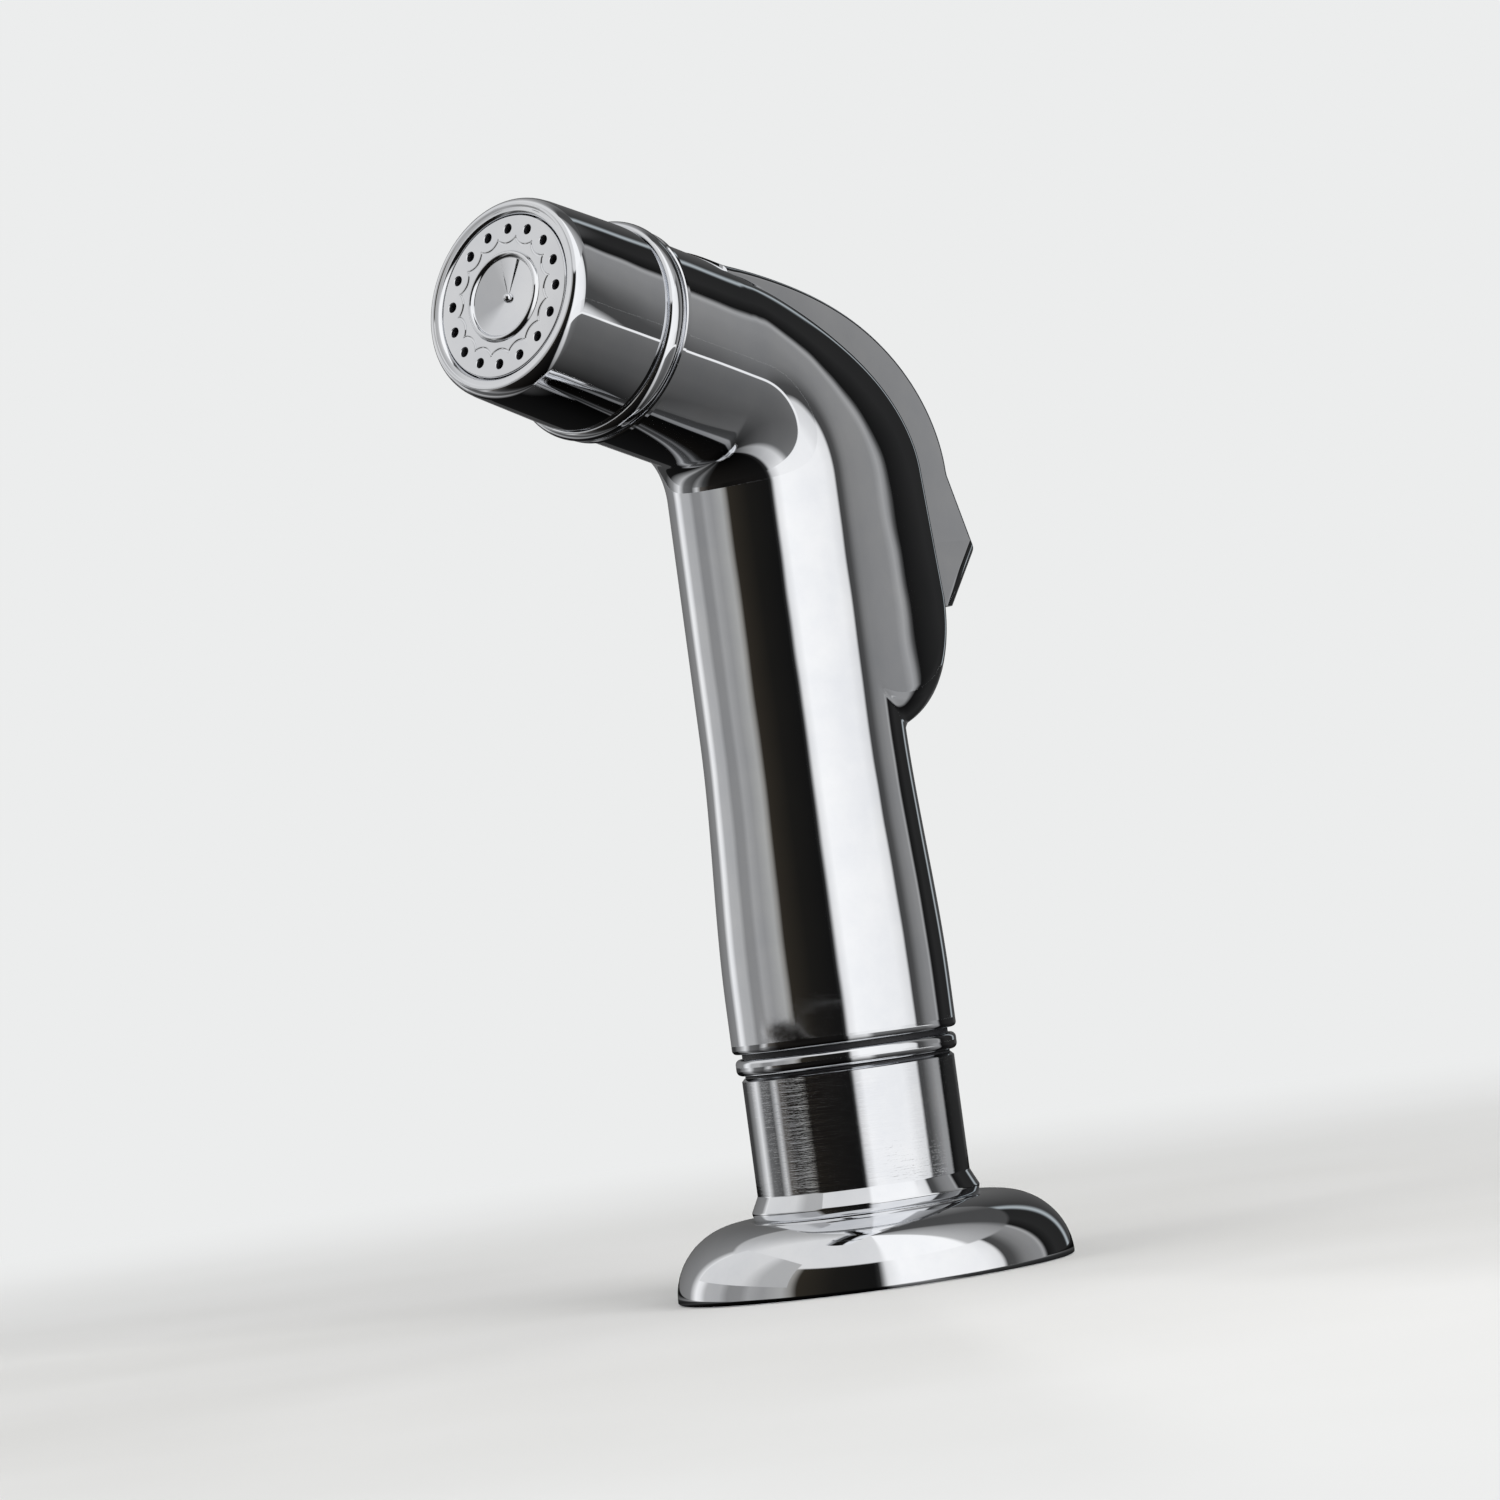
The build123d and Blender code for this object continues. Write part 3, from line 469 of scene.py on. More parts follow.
def bodyRings(count=320):
    # rays are closer together on the back, where the housing's corners are
    dense = np.linspace(0, 2 * math.pi, 2001)
    weight = 1 + bodyGrid["backWeight"] * np.exp(-((dense - math.pi / 2) / bodyGrid["backSpread"]) ** 2)
    total = np.concatenate([[0], np.cumsum((weight[1:] + weight[:-1]) / 2)])
    angles = np.interp(np.arange(count) / count * total[-1], total, dense)
    side, height = np.cos(angles), np.sin(angles)
    gripStart = spray["foot"] + spray["footRound"] - bendStart
    chinEnd = housing["chinHeight"] - bodyGrid["chinDrop"] - bendStart
    pastChin, coarse = chinEnd + bodyGrid["chinSpan"], bodyGrid["coarseFrom"]
    alongs = np.concatenate([np.linspace(gripStart, chinEnd, 60, endpoint=False),
                             np.linspace(chinEnd, pastChin, 50, endpoint=False),
                             np.linspace(pastChin, coarse, 110, endpoint=False), np.linspace(coarse, neckEnd, 14)])
    low, high = (np.full((len(alongs), count), limit) for limit in bodyGrid["reach"])
    for _ in range(bodyGrid["halvings"]):
        middle = (low + high) / 2
        inside = sectionField(middle * side, middle * height, alongs[:, None]) < 0
        low, high = np.where(inside, middle, low), np.where(inside, high, middle)
    outer = beside(alongs[:, None], low * side, low * height)
    circle = lambda radius, z: beside(z - bendStart, radius * side, radius * height)[None]
    neck = lambda radius, along: beside(along, radius * side, radius * height)[None]
    r, f, z = spray["footRadius"], spray["footRound"], spray["foot"]
    bore, chamfer = spray["bore"], spray["boreChamfer"]
    foot = [circle(bore, spray["boreTop"]), circle(bore, z + chamfer), circle(bore + chamfer, z), circle(r - f, z)]
    foot += [circle(r - f + f * math.sin(t), z + f - f * math.cos(t)) for t in np.linspace(0.25, 1.3, 5)]
    tail = [neck(spray["neckBore"], neckEnd), neck(spray["neckBore"], neckEnd - spray["neckBoreDepth"])]
    return np.concatenate(foot + [outer] + tail)


# height of the pocket's floor: a pressed skirt moves in and slides down in proportion to its way from
# the pivot
def pocketFloor(along):
    swung = np.clip(along, 0, bendLength) / bendRadius
    toPivot = beside(lever["pivotAlong"], 0.0, lever["pivotHeight"]) - beside(along, 0.0, 0.0)
    onward = -toPivot[..., 1] * np.sin(swung) + toPivot[..., 2] * np.cos(swung)
    outward = toPivot[..., 1] * np.cos(swung) + toPivot[..., 2] * np.sin(swung)
    press = math.radians(lever["press"])
    slide = press * np.clip(backHeight(along, housing) - outward, 0, None)
    depth = lever["skirt"] + lever["pocketGap"] + press * np.clip(onward, 0, None)
    return backHeight(along + slide, housing) - depth


# the pocket that the lever's skirts sink into, as a closed block from its floor to well above
def pocketBlock(rows=60, columns=25):
    half, front = lever["halfWidth"] + lever["gap"], lever["frontRound"] + lever["gap"]
    side = np.linspace(-half, half, columns)
    start = lever["frontAlong"] + lever["gap"] - (front - np.sqrt(front ** 2 - side ** 2))
    end = lever["pocketEnd"] - bendStart
    share = np.linspace(0, 1, rows)[:, None]
    along = start * (1 - share) + end * share
    floor = pocketFloor(along)
    bottom = beside(along, side + 0 * along, floor)
    top = beside(along, side + 0 * along, lever["pocketTop"] + 0 * floor)
    verts = np.concatenate([bottom, top]).reshape(-1, 3) * mm
    at = lambda level, i, j: (level * rows + i) * columns + j
    faces = []
    for i in range(rows - 1):
        for j in range(columns - 1):
            faces.append((at(0, i, j), at(0, i, j + 1), at(0, i + 1, j + 1), at(0, i + 1, j)))
            faces.append((at(1, i, j), at(1, i + 1, j), at(1, i + 1, j + 1), at(1, i, j + 1)))
        for j in (0, columns - 1):
            faces.append((at(0, i, j), at(0, i + 1, j), at(1, i + 1, j), at(1, i, j)))
    for j in range(columns - 1):
        for i in (0, rows - 1):
            faces.append((at(0, i, j), at(1, i, j), at(1, i, j + 1), at(0, i, j + 1)))
    return meshObject("pocket_tool", verts, faces)


body = ringMesh("spray_shell", bodyRings(), sharp=32.0)
carve(body, pocketBlock(), sharp=32.0)
toolAxis = 0.01
seatTool = turned("seat_tool", [(toolAxis, valve["inlet"]), (valve["chamber"], valve["inlet"]),
                                (valve["chamber"], valve["seat"]), (valve["spot"], valve["seat"]),
                                (valve["spot"], valve["toolEnd"]), (toolAxis, valve["toolEnd"])], count=48)
carve(body, placed(seatTool, valveFrame), sharp=32.0)
pivot = beside(lever["pivotAlong"], 0.0, lever["pivotHeight"])
acrossFrame = Matrix(((0, 0, 1, 0), (1, 0, 0, pivot[1] * mm), (0, 1, 0, pivot[2] * mm), (0, 0, 0, 1)))
lugForm = {"bore": 1.25, "radius": 2.2, "inside": 5.5, "outside": 7.2, "room": 2.7, "roomStart": 5.0, "roomEnd": 9.0}
for side in (-1, 1):
    lugRoom = bandProfile(toolAxis, lugForm["room"], side * lugForm["roomStart"], side * lugForm["roomEnd"])
    lugTool = turned("lug_tool", lugRoom, count=32)
    carve(body, placed(lugTool, acrossFrame), sharp=32.0)
finish(body, "sprayer", "chromed_plastic", ["body_shell"])
print("spray body built:", len(body.data.polygons), "faces")


leverGrid = {"start": -25.0, "past": 1.0, "rows": 150, "corner": 7, "back": 41, "under": 21}
farAway = 100


# closed block with the lever's back, drawn in by an inset; its skirts go their own depth and a drop more
# below the housing's top
def leverBlock(name, inset, drop):
    half, edge = lever["halfWidth"] - inset, lever["edge"]
    turn = np.linspace(0, math.pi / 2, leverGrid["corner"])
    flat = np.linspace(1, -1, leverGrid["back"])[1:-1]
    under = np.linspace(-half, half, leverGrid["under"])[1:-1]
    side = np.concatenate([[half], half - edge * (1 - np.cos(turn)), (half - edge) * flat,
                           -half + edge * (1 - np.cos(turn[::-1])), [-half], under])
    rise = np.concatenate([[0], edge * (np.sin(turn) - 1), 0 * flat, edge * (np.sin(turn[::-1]) - 1), [0], 0 * under])
    top = np.concatenate([[0], np.ones(len(turn) * 2 + len(flat)), [0], 0 * under])
    rows = []
    for along in np.linspace(leverGrid["start"], lever["frontAlong"] + leverGrid["past"], leverGrid["rows"]):
        forward = (max(along, 0) / lever["frontAlong"]) ** 3
        crown = lever["tipCrown"] + (lever["frontCrown"] - lever["tipCrown"]) * forward
        high = backHeight(along, lever) - inset + rise + crown * (1 - (side / half) ** 2)
        low = backHeight(along, housing) - lever["skirt"] - drop
        rows.append(beside(along, side, np.where(top > 0, high, low)))
    block = ringMesh(name, rows)
    carve(block, frontPrism(-inset), "INTERSECT")
    carve(block, endPrism(inset), "INTERSECT")
    return block


# prism through a closed plan of (across, up) points, from one end to the other
def prism(name, plan, start, end):
    lower = [start + Vector((x, 0, 0)) + up for x, up in plan]
    upper = [end + Vector((x, 0, 0)) + up for x, up in plan]
    return ringMesh(name, [[tuple(v) for v in lower], [tuple(v) for v in upper]])


# everything behind the lever's rounded front, seen square to the neck
def frontPrism(gap):
    tip = Vector(beside(lever["frontAlong"], 0.0, 0.0))
    out = Vector(beside(lever["frontAlong"], 0.0, 1.0)) - tip
    back = Vector((0, -out.z, out.y)) * -1
    r = lever["frontRound"] + gap
    turn = np.linspace(-math.pi / 2, math.pi / 2, 65)
    plan = [(r * math.sin(t), back * (lever["frontRound"] - r * math.cos(t))) for t in turn]
    plan += [(r, back * farAway), (-r, back * farAway)]
    return prism("front_tool", plan, tip - out * farAway, tip + out * farAway)


# everything inside the lever's slanted end with its round corners, and above its foot
def endPrism(inset):
    slant = math.radians(lever["endSlant"])
    along = Vector((0, math.cos(slant), math.sin(slant)))
    inward = Vector((0, -math.sin(slant), math.cos(slant)))
    tip = Vector((0, lever["tipDepth"], lever["tipHeight"]))
    half, r = lever["halfWidth"] + lever["gap"] - inset, lever["endCorner"] - inset
    turn = np.linspace(0, math.pi / 2, 12)
    right = [(half - lever["gap"] - r + r * math.sin(t), inward * (inset + r - r * math.cos(t))) for t in turn]
    plan = [(-x, up) for x, up in right[::-1]] + right
    past = inward * (inset + r + lever["gap"])
    plan += [(half, past), (half, inward * farAway), (-half, inward * farAway), (-half, past)]
    tool = prism("end_tool", plan, tip - along * farAway, tip + along * farAway)
    foot = lever["footHeight"] + inset
    square = [(-60, 60), (60, 60), (60, -60), (-60, -60)]
    above = ringMesh("foot_tool", [[(x, y, z) for x, y in square] for z in (foot, foot + 120)])
    carve(tool, above, "INTERSECT")
    return tool


leverTop = leverBlock("thumb_lever_shell", 0.0, 0.0)
carve(leverTop, leverBlock("lever_inside", lever["wall"], 2 * lever["skirt"]), sharp=38.0)
finish(leverTop, "lever", "chromed_plastic", ["thumb_lever"])
for side in (-1, 1):
    band = bandProfile(lugForm["bore"], lugForm["radius"], side * lugForm["inside"], side * lugForm["outside"])
    lug = turned("lever_lug_" + ("left" if side < 0 else "right"), band, count=48)
    finish(placed(lug, acrossFrame), "lever", "chromed_plastic")


pad = {"across": 3.0, "up": 3.5, "corner": 0.6, "face": 23.66, "chamfer": 0.3, "taper": 0.9, "top": 30.5}


# press pad under the lever: a post with rounded corners and a flat top, which the sloping lever meets
# over its upper half alone
def padRings(form):
    x, z, r = form["across"], form["up"], form["corner"]
    outline = rounded([(0, -z), (x, -z), (x, z), (-x, z), (-x, -z), (0, -z)], (0, r, r, r, r, 0))[:-1]
    return [[(x * k, y, valve["height"] + z * k) for x, z in outline]
            for k, y in ((form["taper"], form["face"]), (1, form["face"] + form["chamfer"]), (1, form["top"]))]


finish(ringMesh("press_pad", padRings(pad)), "lever", "chromed_plastic")
print("thumb lever built")

capForm = {"faceRadius": 11.25, "crest": 12.6, "crestHeight": 0.4, "crestRound": 1.2, "crestDrop": 1.7,
           "lip": 13.83, "rear": 14.3, "back": 16.2, "bore": 12.45, "seat": 2.2}


def capProfile(form):
    lip = [(form["faceRadius"], -0.35), (form["faceRadius"] + 0.12, -0.02), (form["faceRadius"] + 0.4, 0.26)]
    lip += [(form["crest"] + form["crestRound"] * math.sin(t),
             form["crestHeight"] * math.cos(t) - form["crestDrop"] * (1 - math.cos(t)))
            for t in np.linspace(-0.35, math.pi / 2, 16)]
    rear = [(form["rear"] - 0.12, -form["back"]), (form["bore"], -form["back"]), (form["bore"], -form["seat"]),
            (form["faceRadius"], -form["seat"])]
    return lip + [(form["lip"] + 0.03, -2.2), (form["rear"], 0.12 - form["back"])] + rear


finish(placed(turned("spray_cap_shell", capProfile(capForm)), headFrame), "sprayer", "chromed_plastic", ["spray_cap"])

ringForm = {"groove": 13.9, "core": 14.3, "bead": 15.17, "beadFront": 16.8, "beadBack": 19.5, "rib": 14.9,
            "ribFront": 19.9, "front": 16.2, "back": 20.8, "bore": 12.4}


def headRingProfile(form):
    middle, half = (form["beadFront"] + form["beadBack"]) / 2, (form["beadBack"] - form["beadFront"]) / 2
    bead = [(form["core"] + (form["bead"] - form["core"]) * math.cos(t), -(middle + half * math.sin(t)))
            for t in np.linspace(-math.pi / 2, math.pi / 2, 22)]
    return ([(form["bore"], -form["front"]), (form["groove"], -form["front"]), (form["groove"], -form["beadFront"])]
            + bead + [(form["core"], -form["ribFront"]), (form["rib"] - 0.15, -form["ribFront"]),
                      (form["rib"], -form["ribFront"] - 0.15), (form["rib"], 0.15 - form["back"]),
                      (form["rib"] - 0.15, -form["back"]), (form["bore"], -form["back"])])


finish(placed(turned("head_band", headRingProfile(ringForm)), headFrame), "sprayer", "chromed_plastic", ["head_ring"])

faceForm = {"radius": 11.15, "flange": 12.3, "flangeFront": 2.3, "back": 3.6, "holes": 16, "holeRadius": 0.65,
            "holeCircle": 9.36, "hub": 6.3, "hubHeight": 0.5, "dish": 5.4, "dishDepth": 0.8, "nub": 0.7,
            "nubHeight": 0.6, "scallopLow": 7.3, "scallopHigh": 8.2, "grooveWidth": 0.12, "grooveDepth": 0.1,
            "rim": 0.2, "wallDepth": 0.08, "wallReach": 0.9}


# front of the face plate as a polar grid: dish, hub, scalloped groove and rounded rim
def faceRings(form, count=512):
    angles = fullTurn(count)
    radii = np.concatenate([np.linspace(0.02, form["nub"], 6), np.linspace(0.85, form["dish"] - 0.15, 16),
                            np.linspace(form["dish"] - 0.05, form["hub"] + 0.2, 22), np.linspace(6.6, 8.7, 46),
                            np.linspace(8.9, form["radius"] - 0.25, 10),
                            form["radius"] - form["rim"] * (1 - np.sin(np.linspace(0.1, math.pi / 2, 6)))])
    # the groove bows inwards round each hole, with a cusp between two holes
    lobe = np.abs(np.cos(angles * form["holes"] / 2))
    line = form["scallopHigh"] - (form["scallopHigh"] - form["scallopLow"]) * lobe ** 0.6
    rows = []
    for r in radii:
        if r <= form["nub"]:
            h = form["nubHeight"] * math.sqrt(max(0.0, 1 - (r / form["nub"]) ** 2)) - form["dishDepth"]
        elif r < form["dish"]:
            h = -form["dishDepth"] * (1 - (r - form["nub"]) / (form["dish"] - form["nub"]))
        elif r < form["hub"]:
            t = (r - form["dish"]) / (form["hub"] - form["dish"])
            h = form["hubHeight"] * math.sin(math.pi * t) ** 0.6
        else:
            h = 0.0
        groove = form["grooveDepth"] * np.exp(-((r - line) / form["grooveWidth"]) ** 2) * (r > form["hub"])
        onRim = max(0.0, (r - form["radius"] + form["rim"]) / form["rim"])
        rim = form["rim"] * (1 - math.sqrt(max(0.0, 1 - onRim ** 2)))
        rows.append([(r * math.cos(a), r * math.sin(a), h - g - rim) for a, g in zip(angles, groove)])
    for r, h in ((form["radius"], -form["flangeFront"]), (form["flange"], -form["flangeFront"]),
                 (form["flange"], -form["back"]), (0.02, -form["back"])):
        rows.append(circleRow(r, h, angles))
    return rows


facePlate = ringMesh("spray_face_plate", faceRings(faceForm), sharp=50.0)
holeRadius, holeCircle = faceForm["holeRadius"], faceForm["holeCircle"]
for i in range(faceForm["holes"]):
    turnHole = 2 * math.pi * i / faceForm["holes"]
    hole = turned("hole_tool", [(0.005, 1.0), (holeRadius + 1.0, 1.0), (holeRadius + 0.1, 0.03),
                                (holeRadius, -0.1), (holeRadius, -5.0), (0.005, -5.0)], count=24)
    placed(hole, Matrix.Translation((holeCircle * math.cos(turnHole) * mm, holeCircle * math.sin(turnHole) * mm, 0)))
    if i == 0:
        holes = hole
    else:
        merged = bmesh.new()
        merged.from_mesh(holes.data)
        merged.from_mesh(hole.data)
        merged.to_mesh(holes.data)
        merged.free()
        bpy.data.objects.remove(hole)
carve(facePlate, holes, sharp=50.0)
finish(facePlate, "sprayer", "chromed_plastic", ["spray_face"])
# the nozzle bores are too deep for light to come back out, so their walls get painted shade: the dark black acetal
# finish
facePlate.data.materials.append(finishes["black_plastic"])
for face in facePlate.data.polygons:
    x, y, z = face.center
    if z < -faceForm["wallDepth"] * mm and abs(math.hypot(x, y) - holeCircle * mm) < faceForm["wallReach"] * mm:
        face.material_index = 1
placed(facePlate, headFrame)
print("spray head built")

spring = {"wire": 0.3, "radius": 3.2, "turns": 3, "start": -7.65, "end": -3.7}


# wire of the return spring, wound round the stem's axis
def springRings(form, rows=181, count=14):
    rings = []
    for t in np.linspace(0, 1, rows):
        turn = 2 * math.pi * form["turns"] * t
        out = Vector((math.cos(turn), 0, math.sin(turn)))
        run = Vector((-form["radius"] * math.sin(turn), (form["end"] - form["start"]) / (2 * math.pi * form["turns"]),
                      form["radius"] * math.cos(turn))).normalized()
        centre = out * form["radius"]
        centre += Vector((0, form["start"] + (form["end"] - form["start"]) * t, valve["height"]))
        rings.append([tuple(centre + (out * math.cos(a) + run.cross(out) * math.sin(a)) * form["wire"])
                      for a in fullTurn(count)])
    return rings


returnSpring = ringMesh("return_spring", springRings(spring))
returnSpring.data.materials.append(finishes["spring_steel"])
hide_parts("valve_spring")
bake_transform(returnSpring)

slotOf = {s["node"]: s["material_slot"] for s in frame["record"]["subparts"]}
for name, node in frame["nodes"].items():
    node.data.materials.clear()
    node.data.materials.append(finishes[slotOf[name]])

stageForm = {"backdrop": "#eceded", "sky": "#d8dadc", "skyStrength": 0.55, "floorRings": (13.4, 60, 300, 2500),
             "floorHeight": -0.02, "patch": 120, "fadeFrom": 90.0, "fadeTo": 480.0, "aim": (0, 0, 0.08)}
floorRows = [circleRow(r, stageForm["floorHeight"], fullTurn(128)) for r in stageForm["floorRings"]]
floor = ringMesh("floor", floorRows, caps=False)


# 1 for what the camera sees straight on, in a mirror or through glass
def seenRays(tree):
    path = addNode(tree, "ShaderNodeLightPath")
    first = addNode(tree, "ShaderNodeMath", {"operation": "MAXIMUM"},
                    {0: path.outputs["Is Camera Ray"], 1: path.outputs["Is Glossy Ray"]})
    return addNode(tree, "ShaderNodeMath", {"operation": "MAXIMUM"},
                   {0: first.outputs[0], 1: path.outputs["Is Transmission Ray"]}).outputs[0]


# pale matt board that runs out into the backdrop's colour with distance
def floorFinish():
    material, tree, shader = newMaterial("pale_floor")
    place = millimetres(tree)
    cloud = noise(tree, place, stageForm["patch"], 3.0)
    tintBy(tree, shader, cloud, "#e2e1de", "#e8e7e5")
    tree.links.new(spread(tree, cloud, 0.65, 0.75), shader.inputs["Roughness"])
    away = addNode(tree, "ShaderNodeVectorMath", {"operation": "LENGTH"}, {0: place})
    fade = addNode(tree, "ShaderNodeMapRange", {"interpolation_type": "SMOOTHSTEP", "From Min": stageForm["fadeFrom"],
                                                "From Max": stageForm["fadeTo"]}, {"Value": away.outputs["Value"]})
    share = addNode(tree, "ShaderNodeMath", {"operation": "MULTIPLY"}, {0: fade.outputs[0], 1: seenRays(tree)})
    glow = addNode(tree, "ShaderNodeEmission", {"Color": toLinear(stageForm["backdrop"]), "Strength": 1.0})
    mixed = addNode(tree, "ShaderNodeMixShader", {}, {0: share.outputs[0], 1: shader.outputs[0], 2: glow.outputs[0]})
    tree.links.new(mixed.outputs[0], tree.nodes["Material Output"].inputs["Surface"])
    return material


floor.data.materials.append(floorFinish())

# camera at the photograph's angle
cameraForm = {"azimuth": 40.49, "elevation": -1.30, "roll": 7.72, "place": (548.396, -653.877, 55.002),
              "focalPixels": 6193.4, "framePixels": 1500, "sensor": 36.0}
az, el, roll = (math.radians(cameraForm[k]) for k in ("azimuth", "elevation", "roll"))
backward = Vector((math.sin(az) * math.cos(el), -math.cos(az) * math.cos(el), math.sin(el)))
rightward = Vector((math.cos(az), math.sin(az), 0))
upward = backward.cross(rightward)
cameraRight = rightward * math.cos(roll) - upward * math.sin(roll)
cameraUp = rightward * math.sin(roll) + upward * math.cos(roll)
lens = bpy.data.cameras.new("camera")
lens.sensor_width = cameraForm["sensor"]
lens.lens = cameraForm["focalPixels"] / cameraForm["framePixels"] * cameraForm["sensor"]
lens.clip_start, lens.clip_end = 0.01, 50
camera = bpy.data.objects.new("camera", lens)
camera.matrix_world = Matrix((cameraRight, cameraUp, backward)).transposed().to_4x4()
camera.location = Vector(cameraForm["place"]) * mm
scene.collection.objects.link(camera)
scene.camera = camera


# a point on the stage by its bearing from the camera's own, its distance and its height
def bearing(degrees, distance, height):
    turn = az + math.radians(degrees)
    return Vector((math.sin(turn) * distance, -math.cos(turn) * distance, height))


def softBox(name, degrees, distance, height, width, tall, power):
    light = bpy.data.lights.new(name, "AREA")
    light.shape, light.size, light.size_y = "RECTANGLE", width, tall
    light.energy = power
    lamp = bpy.data.objects.new(name, light)
    lamp.location = bearing(degrees, distance, height)
    lamp.rotation_mode = "QUATERNION"
    lamp.rotation_quaternion = (lamp.location - Vector(stageForm["aim"])).to_track_quat("Z", "Y")
    lamp.visible_camera = lamp.visible_glossy = False
    scene.collection.objects.link(lamp)


# what the chrome mirrors: bearing from the camera's own, + to its right, and the tone seen there
farTones = [(-180, "#5a5a5a"), (-138, "#868686"), (-129, "#f4f4f4"), (-124, "#e8e8e8"), (-118, "#b4b4b4"),
            (-104, "#b0b0b0"), (-97, "#8a8a8a"), (-86, "#8c8c8c"), (-80, "#a2a2a2"), (-70, "#969696"),
            (-57, "#aaaaa8"), (-52, "#8c8a86"), (-48, "#2e2a24"), (-25, "#1c1b19"), (-1, "#151515"),
            (2, "#303030"), (6, "#e8e8e8"), (14, "#ffffff"), (64, "#f6f6f6"), (77, "#e4e4e4"), (80, "#444444"),
            (86, "#4c4c4c"), (95, "#7a7a7a"), (104, "#888888"), (110, "#8c8c8c"), (113, "#a8a8a8"),
            (116, "#151515"), (128, "#2a2a2a"), (146, "#262626"), (150, "#b4bcc0"), (155, "#3a3a3a"),
            (180, "#5a5a5a")]
nearTones = [(-180, "#404040"), (-150, "#3c3c3c"), (-135, "#8c8c8c"), (-122, "#e2e2e2"), (-112, "#6a6a6a"),
             (-97, "#505050"), (-89, "#cccccc"), (-83, "#585450"), (-72, "#24211e"), (-50, "#131211"),
             (-20, "#161514"), (-1, "#131313"), (2, "#303030"), (5, "#c8c8c8"), (14, "#f8f8f8"),
             (58, "#f6f6f6"), (66, "#e6e6e6"), (76, "#dcdcdc"), (80, "#444444"), (86, "#4c4c4c"),
             (95, "#787878"), (104, "#989898"), (111, "#989898"), (115, "#121212"), (128, "#262626"),
             (150, "#2c2c2c"), (165, "#505050"), (180, "#404040")]
closeTones = [(-180, "#121212"), (-142, "#161616"), (-130, "#8c8c8c"), (-120, "#c8c8c8"), (-112, "#6a6a6a"),
              (-97, "#505050"), (-89, "#909090"), (-80, "#484848"), (-70, "#1c1a18"), (-1, "#131313"),
              (3, "#303030"), (6, "#d0d0d0"), (22, "#e8e8e8"), (30, "#747474"), (60, "#686868"),
              (90, "#6e6e6e"), (104, "#989898"), (111, "#989898"), (115, "#121212"), (140, "#2c2c2c"),
              (180, "#121212")]
closeShade = [(0.0, "#1c1c1c"), (0.02, "#383838"), (0.05, "#909090"), (0.09, "#c0c0c0"), (0.15, "#dedede"),
              (0.33, "#ffffff")]
highTones = [(-180, "#8c8c8c"), (-150, "#b0b0b0"), (-120, "#dcdcdc"), (-20, "#dcdcdc"), (4, "#e0e0e0"),
             (8, "#ffffff"), (64, "#ffffff"), (69, "#b8b8b8"), (108, "#8c8c8c"), (118, "#4c4c4c"),
             (150, "#4a4a4a"), (180, "#8c8c8c")]


# share of a full turn at which a point lies, from the bearing opposite the camera's own
def bearingShare(tree):
    place = addNode(tree, "ShaderNodeTexCoord")
    turn = addNode(tree, "ShaderNodeVectorRotate", {"rotation_type": "Z_AXIS", "Angle": math.pi / 2 - az},
                   {"Vector": place.outputs["Object"]})
    parts = addNode(tree, "ShaderNodeSeparateXYZ", {}, {0: turn.outputs[0]})
    angle = addNode(tree, "ShaderNodeMath", {"operation": "ARCTAN2"}, {0: parts.outputs["Y"], 1: parts.outputs["X"]})
    return ramped(tree, angle.outputs[0], -math.pi, math.pi), parts.outputs["Z"]


# ramp through tones at places between low and high
def toneRamp(tree, share, tones, low=-180, high=180):
    ramp = addNode(tree, "ShaderNodeValToRGB", {}, {0: share})
    stops = ramp.color_ramp.elements
    stops.remove(stops[0])
    for i, (place, colour) in enumerate(tones):
        stop = stops.new((place - low) / (high - low)) if i < len(tones) - 1 else stops[-1]
        stop.color = toLinear(colour)
    return ramp.outputs[0]


glowStrength = 1.15


# glow that makes up for what the chrome's tint takes, so that its mirror image has the list's tone
def mirroredGlow(piece, name, tones):
    material, tree, shader = newMaterial(name)
    tree.nodes.remove(shader)
    glow = addNode(tree, "ShaderNodeEmission", {"Strength": glowStrength}, {"Color": tones(tree)})
    tree.links.new(glow.outputs[0], tree.nodes["Material Output"].inputs["Surface"])
    piece.data.materials.append(material)
    return piece


drumForm = {"rings": ((1300, -700), (1300, 2600), (5, 2600)), "ceiling": (1.05, 1.12)}


# a drum that only shows in the chrome, with the room at eye level and the ceiling above it
def mirrorDrum():
    rows = [[tuple(bearing(t, r, 0)[:2]) + (h,) for t in range(-180, 180, 5)] for r, h in drumForm["rings"]]

    def tones(tree):
        share, height = bearingShare(tree)
        return addNode(tree, "ShaderNodeMix", {"data_type": "RGBA"},
                       {0: ramped(tree, height, *drumForm["ceiling"]), 6: toneRamp(tree, share, farTones),
                        7: toneRamp(tree, share, highTones)}).outputs[2]

    return mirroredGlow(ringMesh("mirror_drum", rows, caps=False), "mirrored_room", tones)


tableForm = {"rings": (28, 1290), "height": 0.03, "close": 0.33, "strip": 0.36, "near": 0.4, "edge": 0.012,
             "stripTone": "#f8f8f8", "stripFrom": 60, "stripTo": 100}


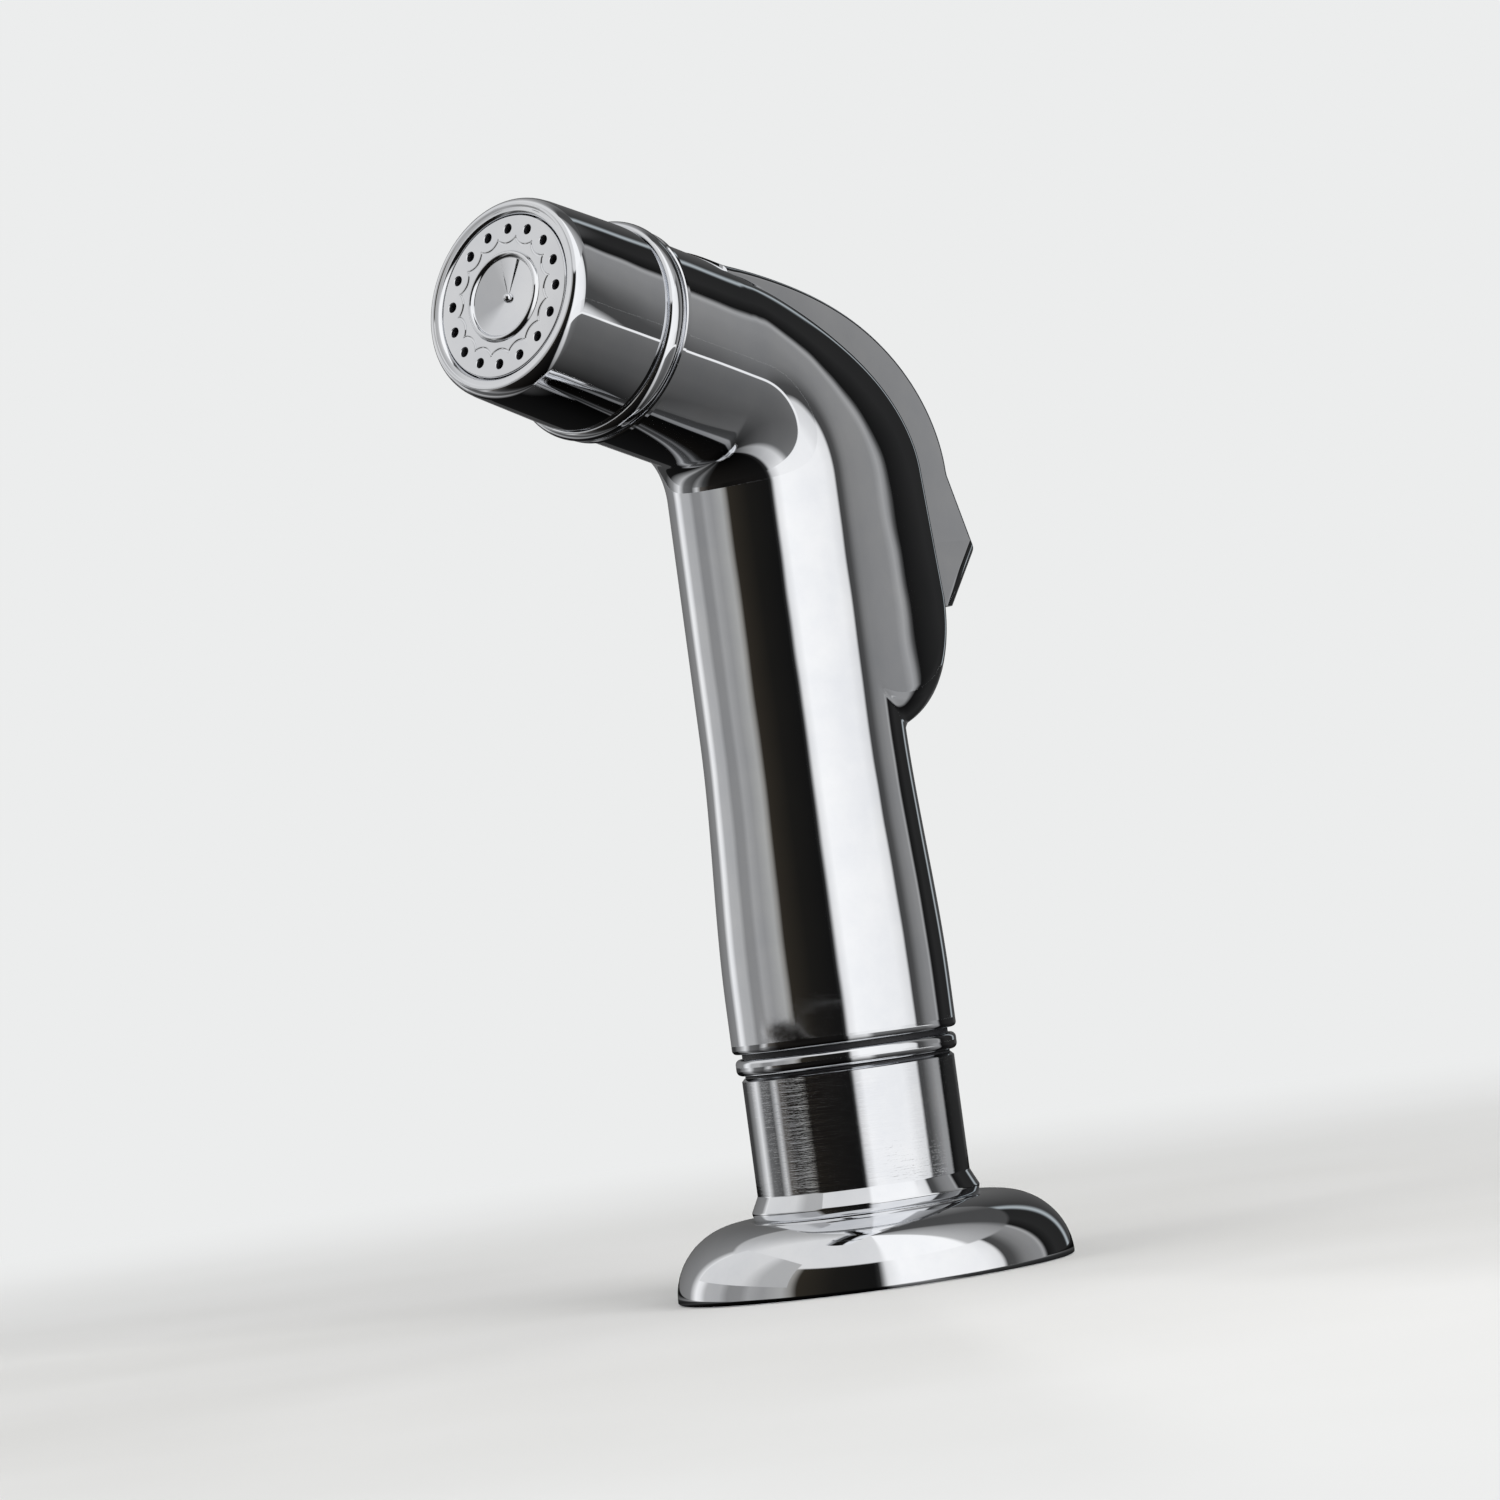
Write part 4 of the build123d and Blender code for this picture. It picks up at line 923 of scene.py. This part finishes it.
# the worktop that the chrome mirrors from below, dark near by and lighter further off
def mirrorTable():
    rows = [circleRow(r, tableForm["height"], fullTurn(96)) for r in tableForm["rings"]]

    def tones(tree):
        share = bearingShare(tree)[0]
        reach = addNode(tree, "ShaderNodeVectorMath", {"operation": "LENGTH"},
                        {0: addNode(tree, "ShaderNodeTexCoord").outputs["Object"]}).outputs["Value"]
        shade = toneRamp(tree, ramped(tree, reach, 0.0, tableForm["close"]), closeShade, 0.0, tableForm["close"])
        both = addNode(tree, "ShaderNodeMix", {"data_type": "RGBA", "blend_type": "MULTIPLY", 0: 1.0},
                       {6: toneRamp(tree, share, closeTones), 7: shade})
        # a lamp strip, which the head mirrors as one light line
        strip = [(turn, tableForm["stripTone"] if tableForm["stripFrom"] < turn < tableForm["stripTo"] else tone)
                 for turn, tone in nearTones]
        for start, ring in ((tableForm["strip"], strip), (tableForm["near"], nearTones)):
            edge = ramped(tree, reach, start, start + tableForm["edge"])
            both = addNode(tree, "ShaderNodeMix", {"data_type": "RGBA"},
                           {0: edge, 6: both.outputs[2], 7: toneRamp(tree, share, ring)})
        return both.outputs[2]

    return mirroredGlow(ringMesh("mirror_table", rows, caps=False), "mirrored_worktop", tones)


panelForm = {"distance": 1200, "bearings": (-130, -54), "heights": (300, 1250)}
panelTones = [(-130, "#dadada"), (-88, "#d4d4d4"), (-74, "#b0b0b0"), (180, "#b0b0b0")]


# a pale panel high on the left, which the spray face mirrors
def mirrorPanel():
    rows = [[bearing(t, panelForm["distance"], h) for t in panelForm["bearings"]] for h in panelForm["heights"]]
    return mirroredGlow(ringMesh("mirror_panel", rows, caps=False), "mirrored_panel",
                        lambda tree: toneRamp(tree, bearingShare(tree)[0], panelTones))


barForm = {"bearings": ((-91.6, -89.2), (-80, -78.2)), "low": (780, 350), "high": (940, 422)}
barTones = [(-180, "#101010"), (180, "#181818")]


# dark window bars before the panel, which the dish of the spray face mirrors as wedges; they lean so that
# the flange sees them edge on
def mirrorBars():
    bars = []
    low, high = barForm["low"], barForm["high"]
    for start, end in barForm["bearings"]:
        bars += [bearing(turn, *at) * mm for turn, at in ((start, low), (end, low), (end, high), (start, high))]
    faces = [tuple(range(i, i + 4)) for i in range(0, len(bars), 4)]
    return mirroredGlow(meshObject("mirror_bars", bars, faces), "mirrored_bars",
                        lambda tree: toneRamp(tree, bearingShare(tree)[0], barTones))


for piece in (mirrorDrum(), mirrorTable(), mirrorPanel(), mirrorBars()):
    piece.visible_camera = piece.visible_diffuse = piece.visible_shadow = False
# bearing in degrees; distance, height, width and tallness in metres; power in watts
lamps = {"window": (40, 1.6, 0.5, 1.2, 1.2, 26), "fill": (-70, 1.6, 0.5, 0.8, 1.0, 7),
         "top": (0, 0.1, 1.5, 1.2, 1.2, 9)}
for name, numbers in lamps.items():
    softBox(name, *numbers)

world = bpy.data.worlds.new("studio")
scene.world = world
world.use_nodes = True
sky = world.node_tree
plain = sky.nodes["Background"]
plain.inputs["Color"].default_value = toLinear(stageForm["sky"])
plain.inputs["Strength"].default_value = stageForm["skyStrength"]
seen = addNode(sky, "ShaderNodeBackground", {"Color": toLinear(stageForm["backdrop"]), "Strength": 1.0})
mixed = addNode(sky, "ShaderNodeMixShader", {}, {0: seenRays(sky), 1: plain.outputs[0], 2: seen.outputs[0]})
sky.links.new(mixed.outputs[0], sky.nodes["World Output"].inputs["Surface"])
scene.view_settings.view_transform = "Standard"
print("stage and camera set")
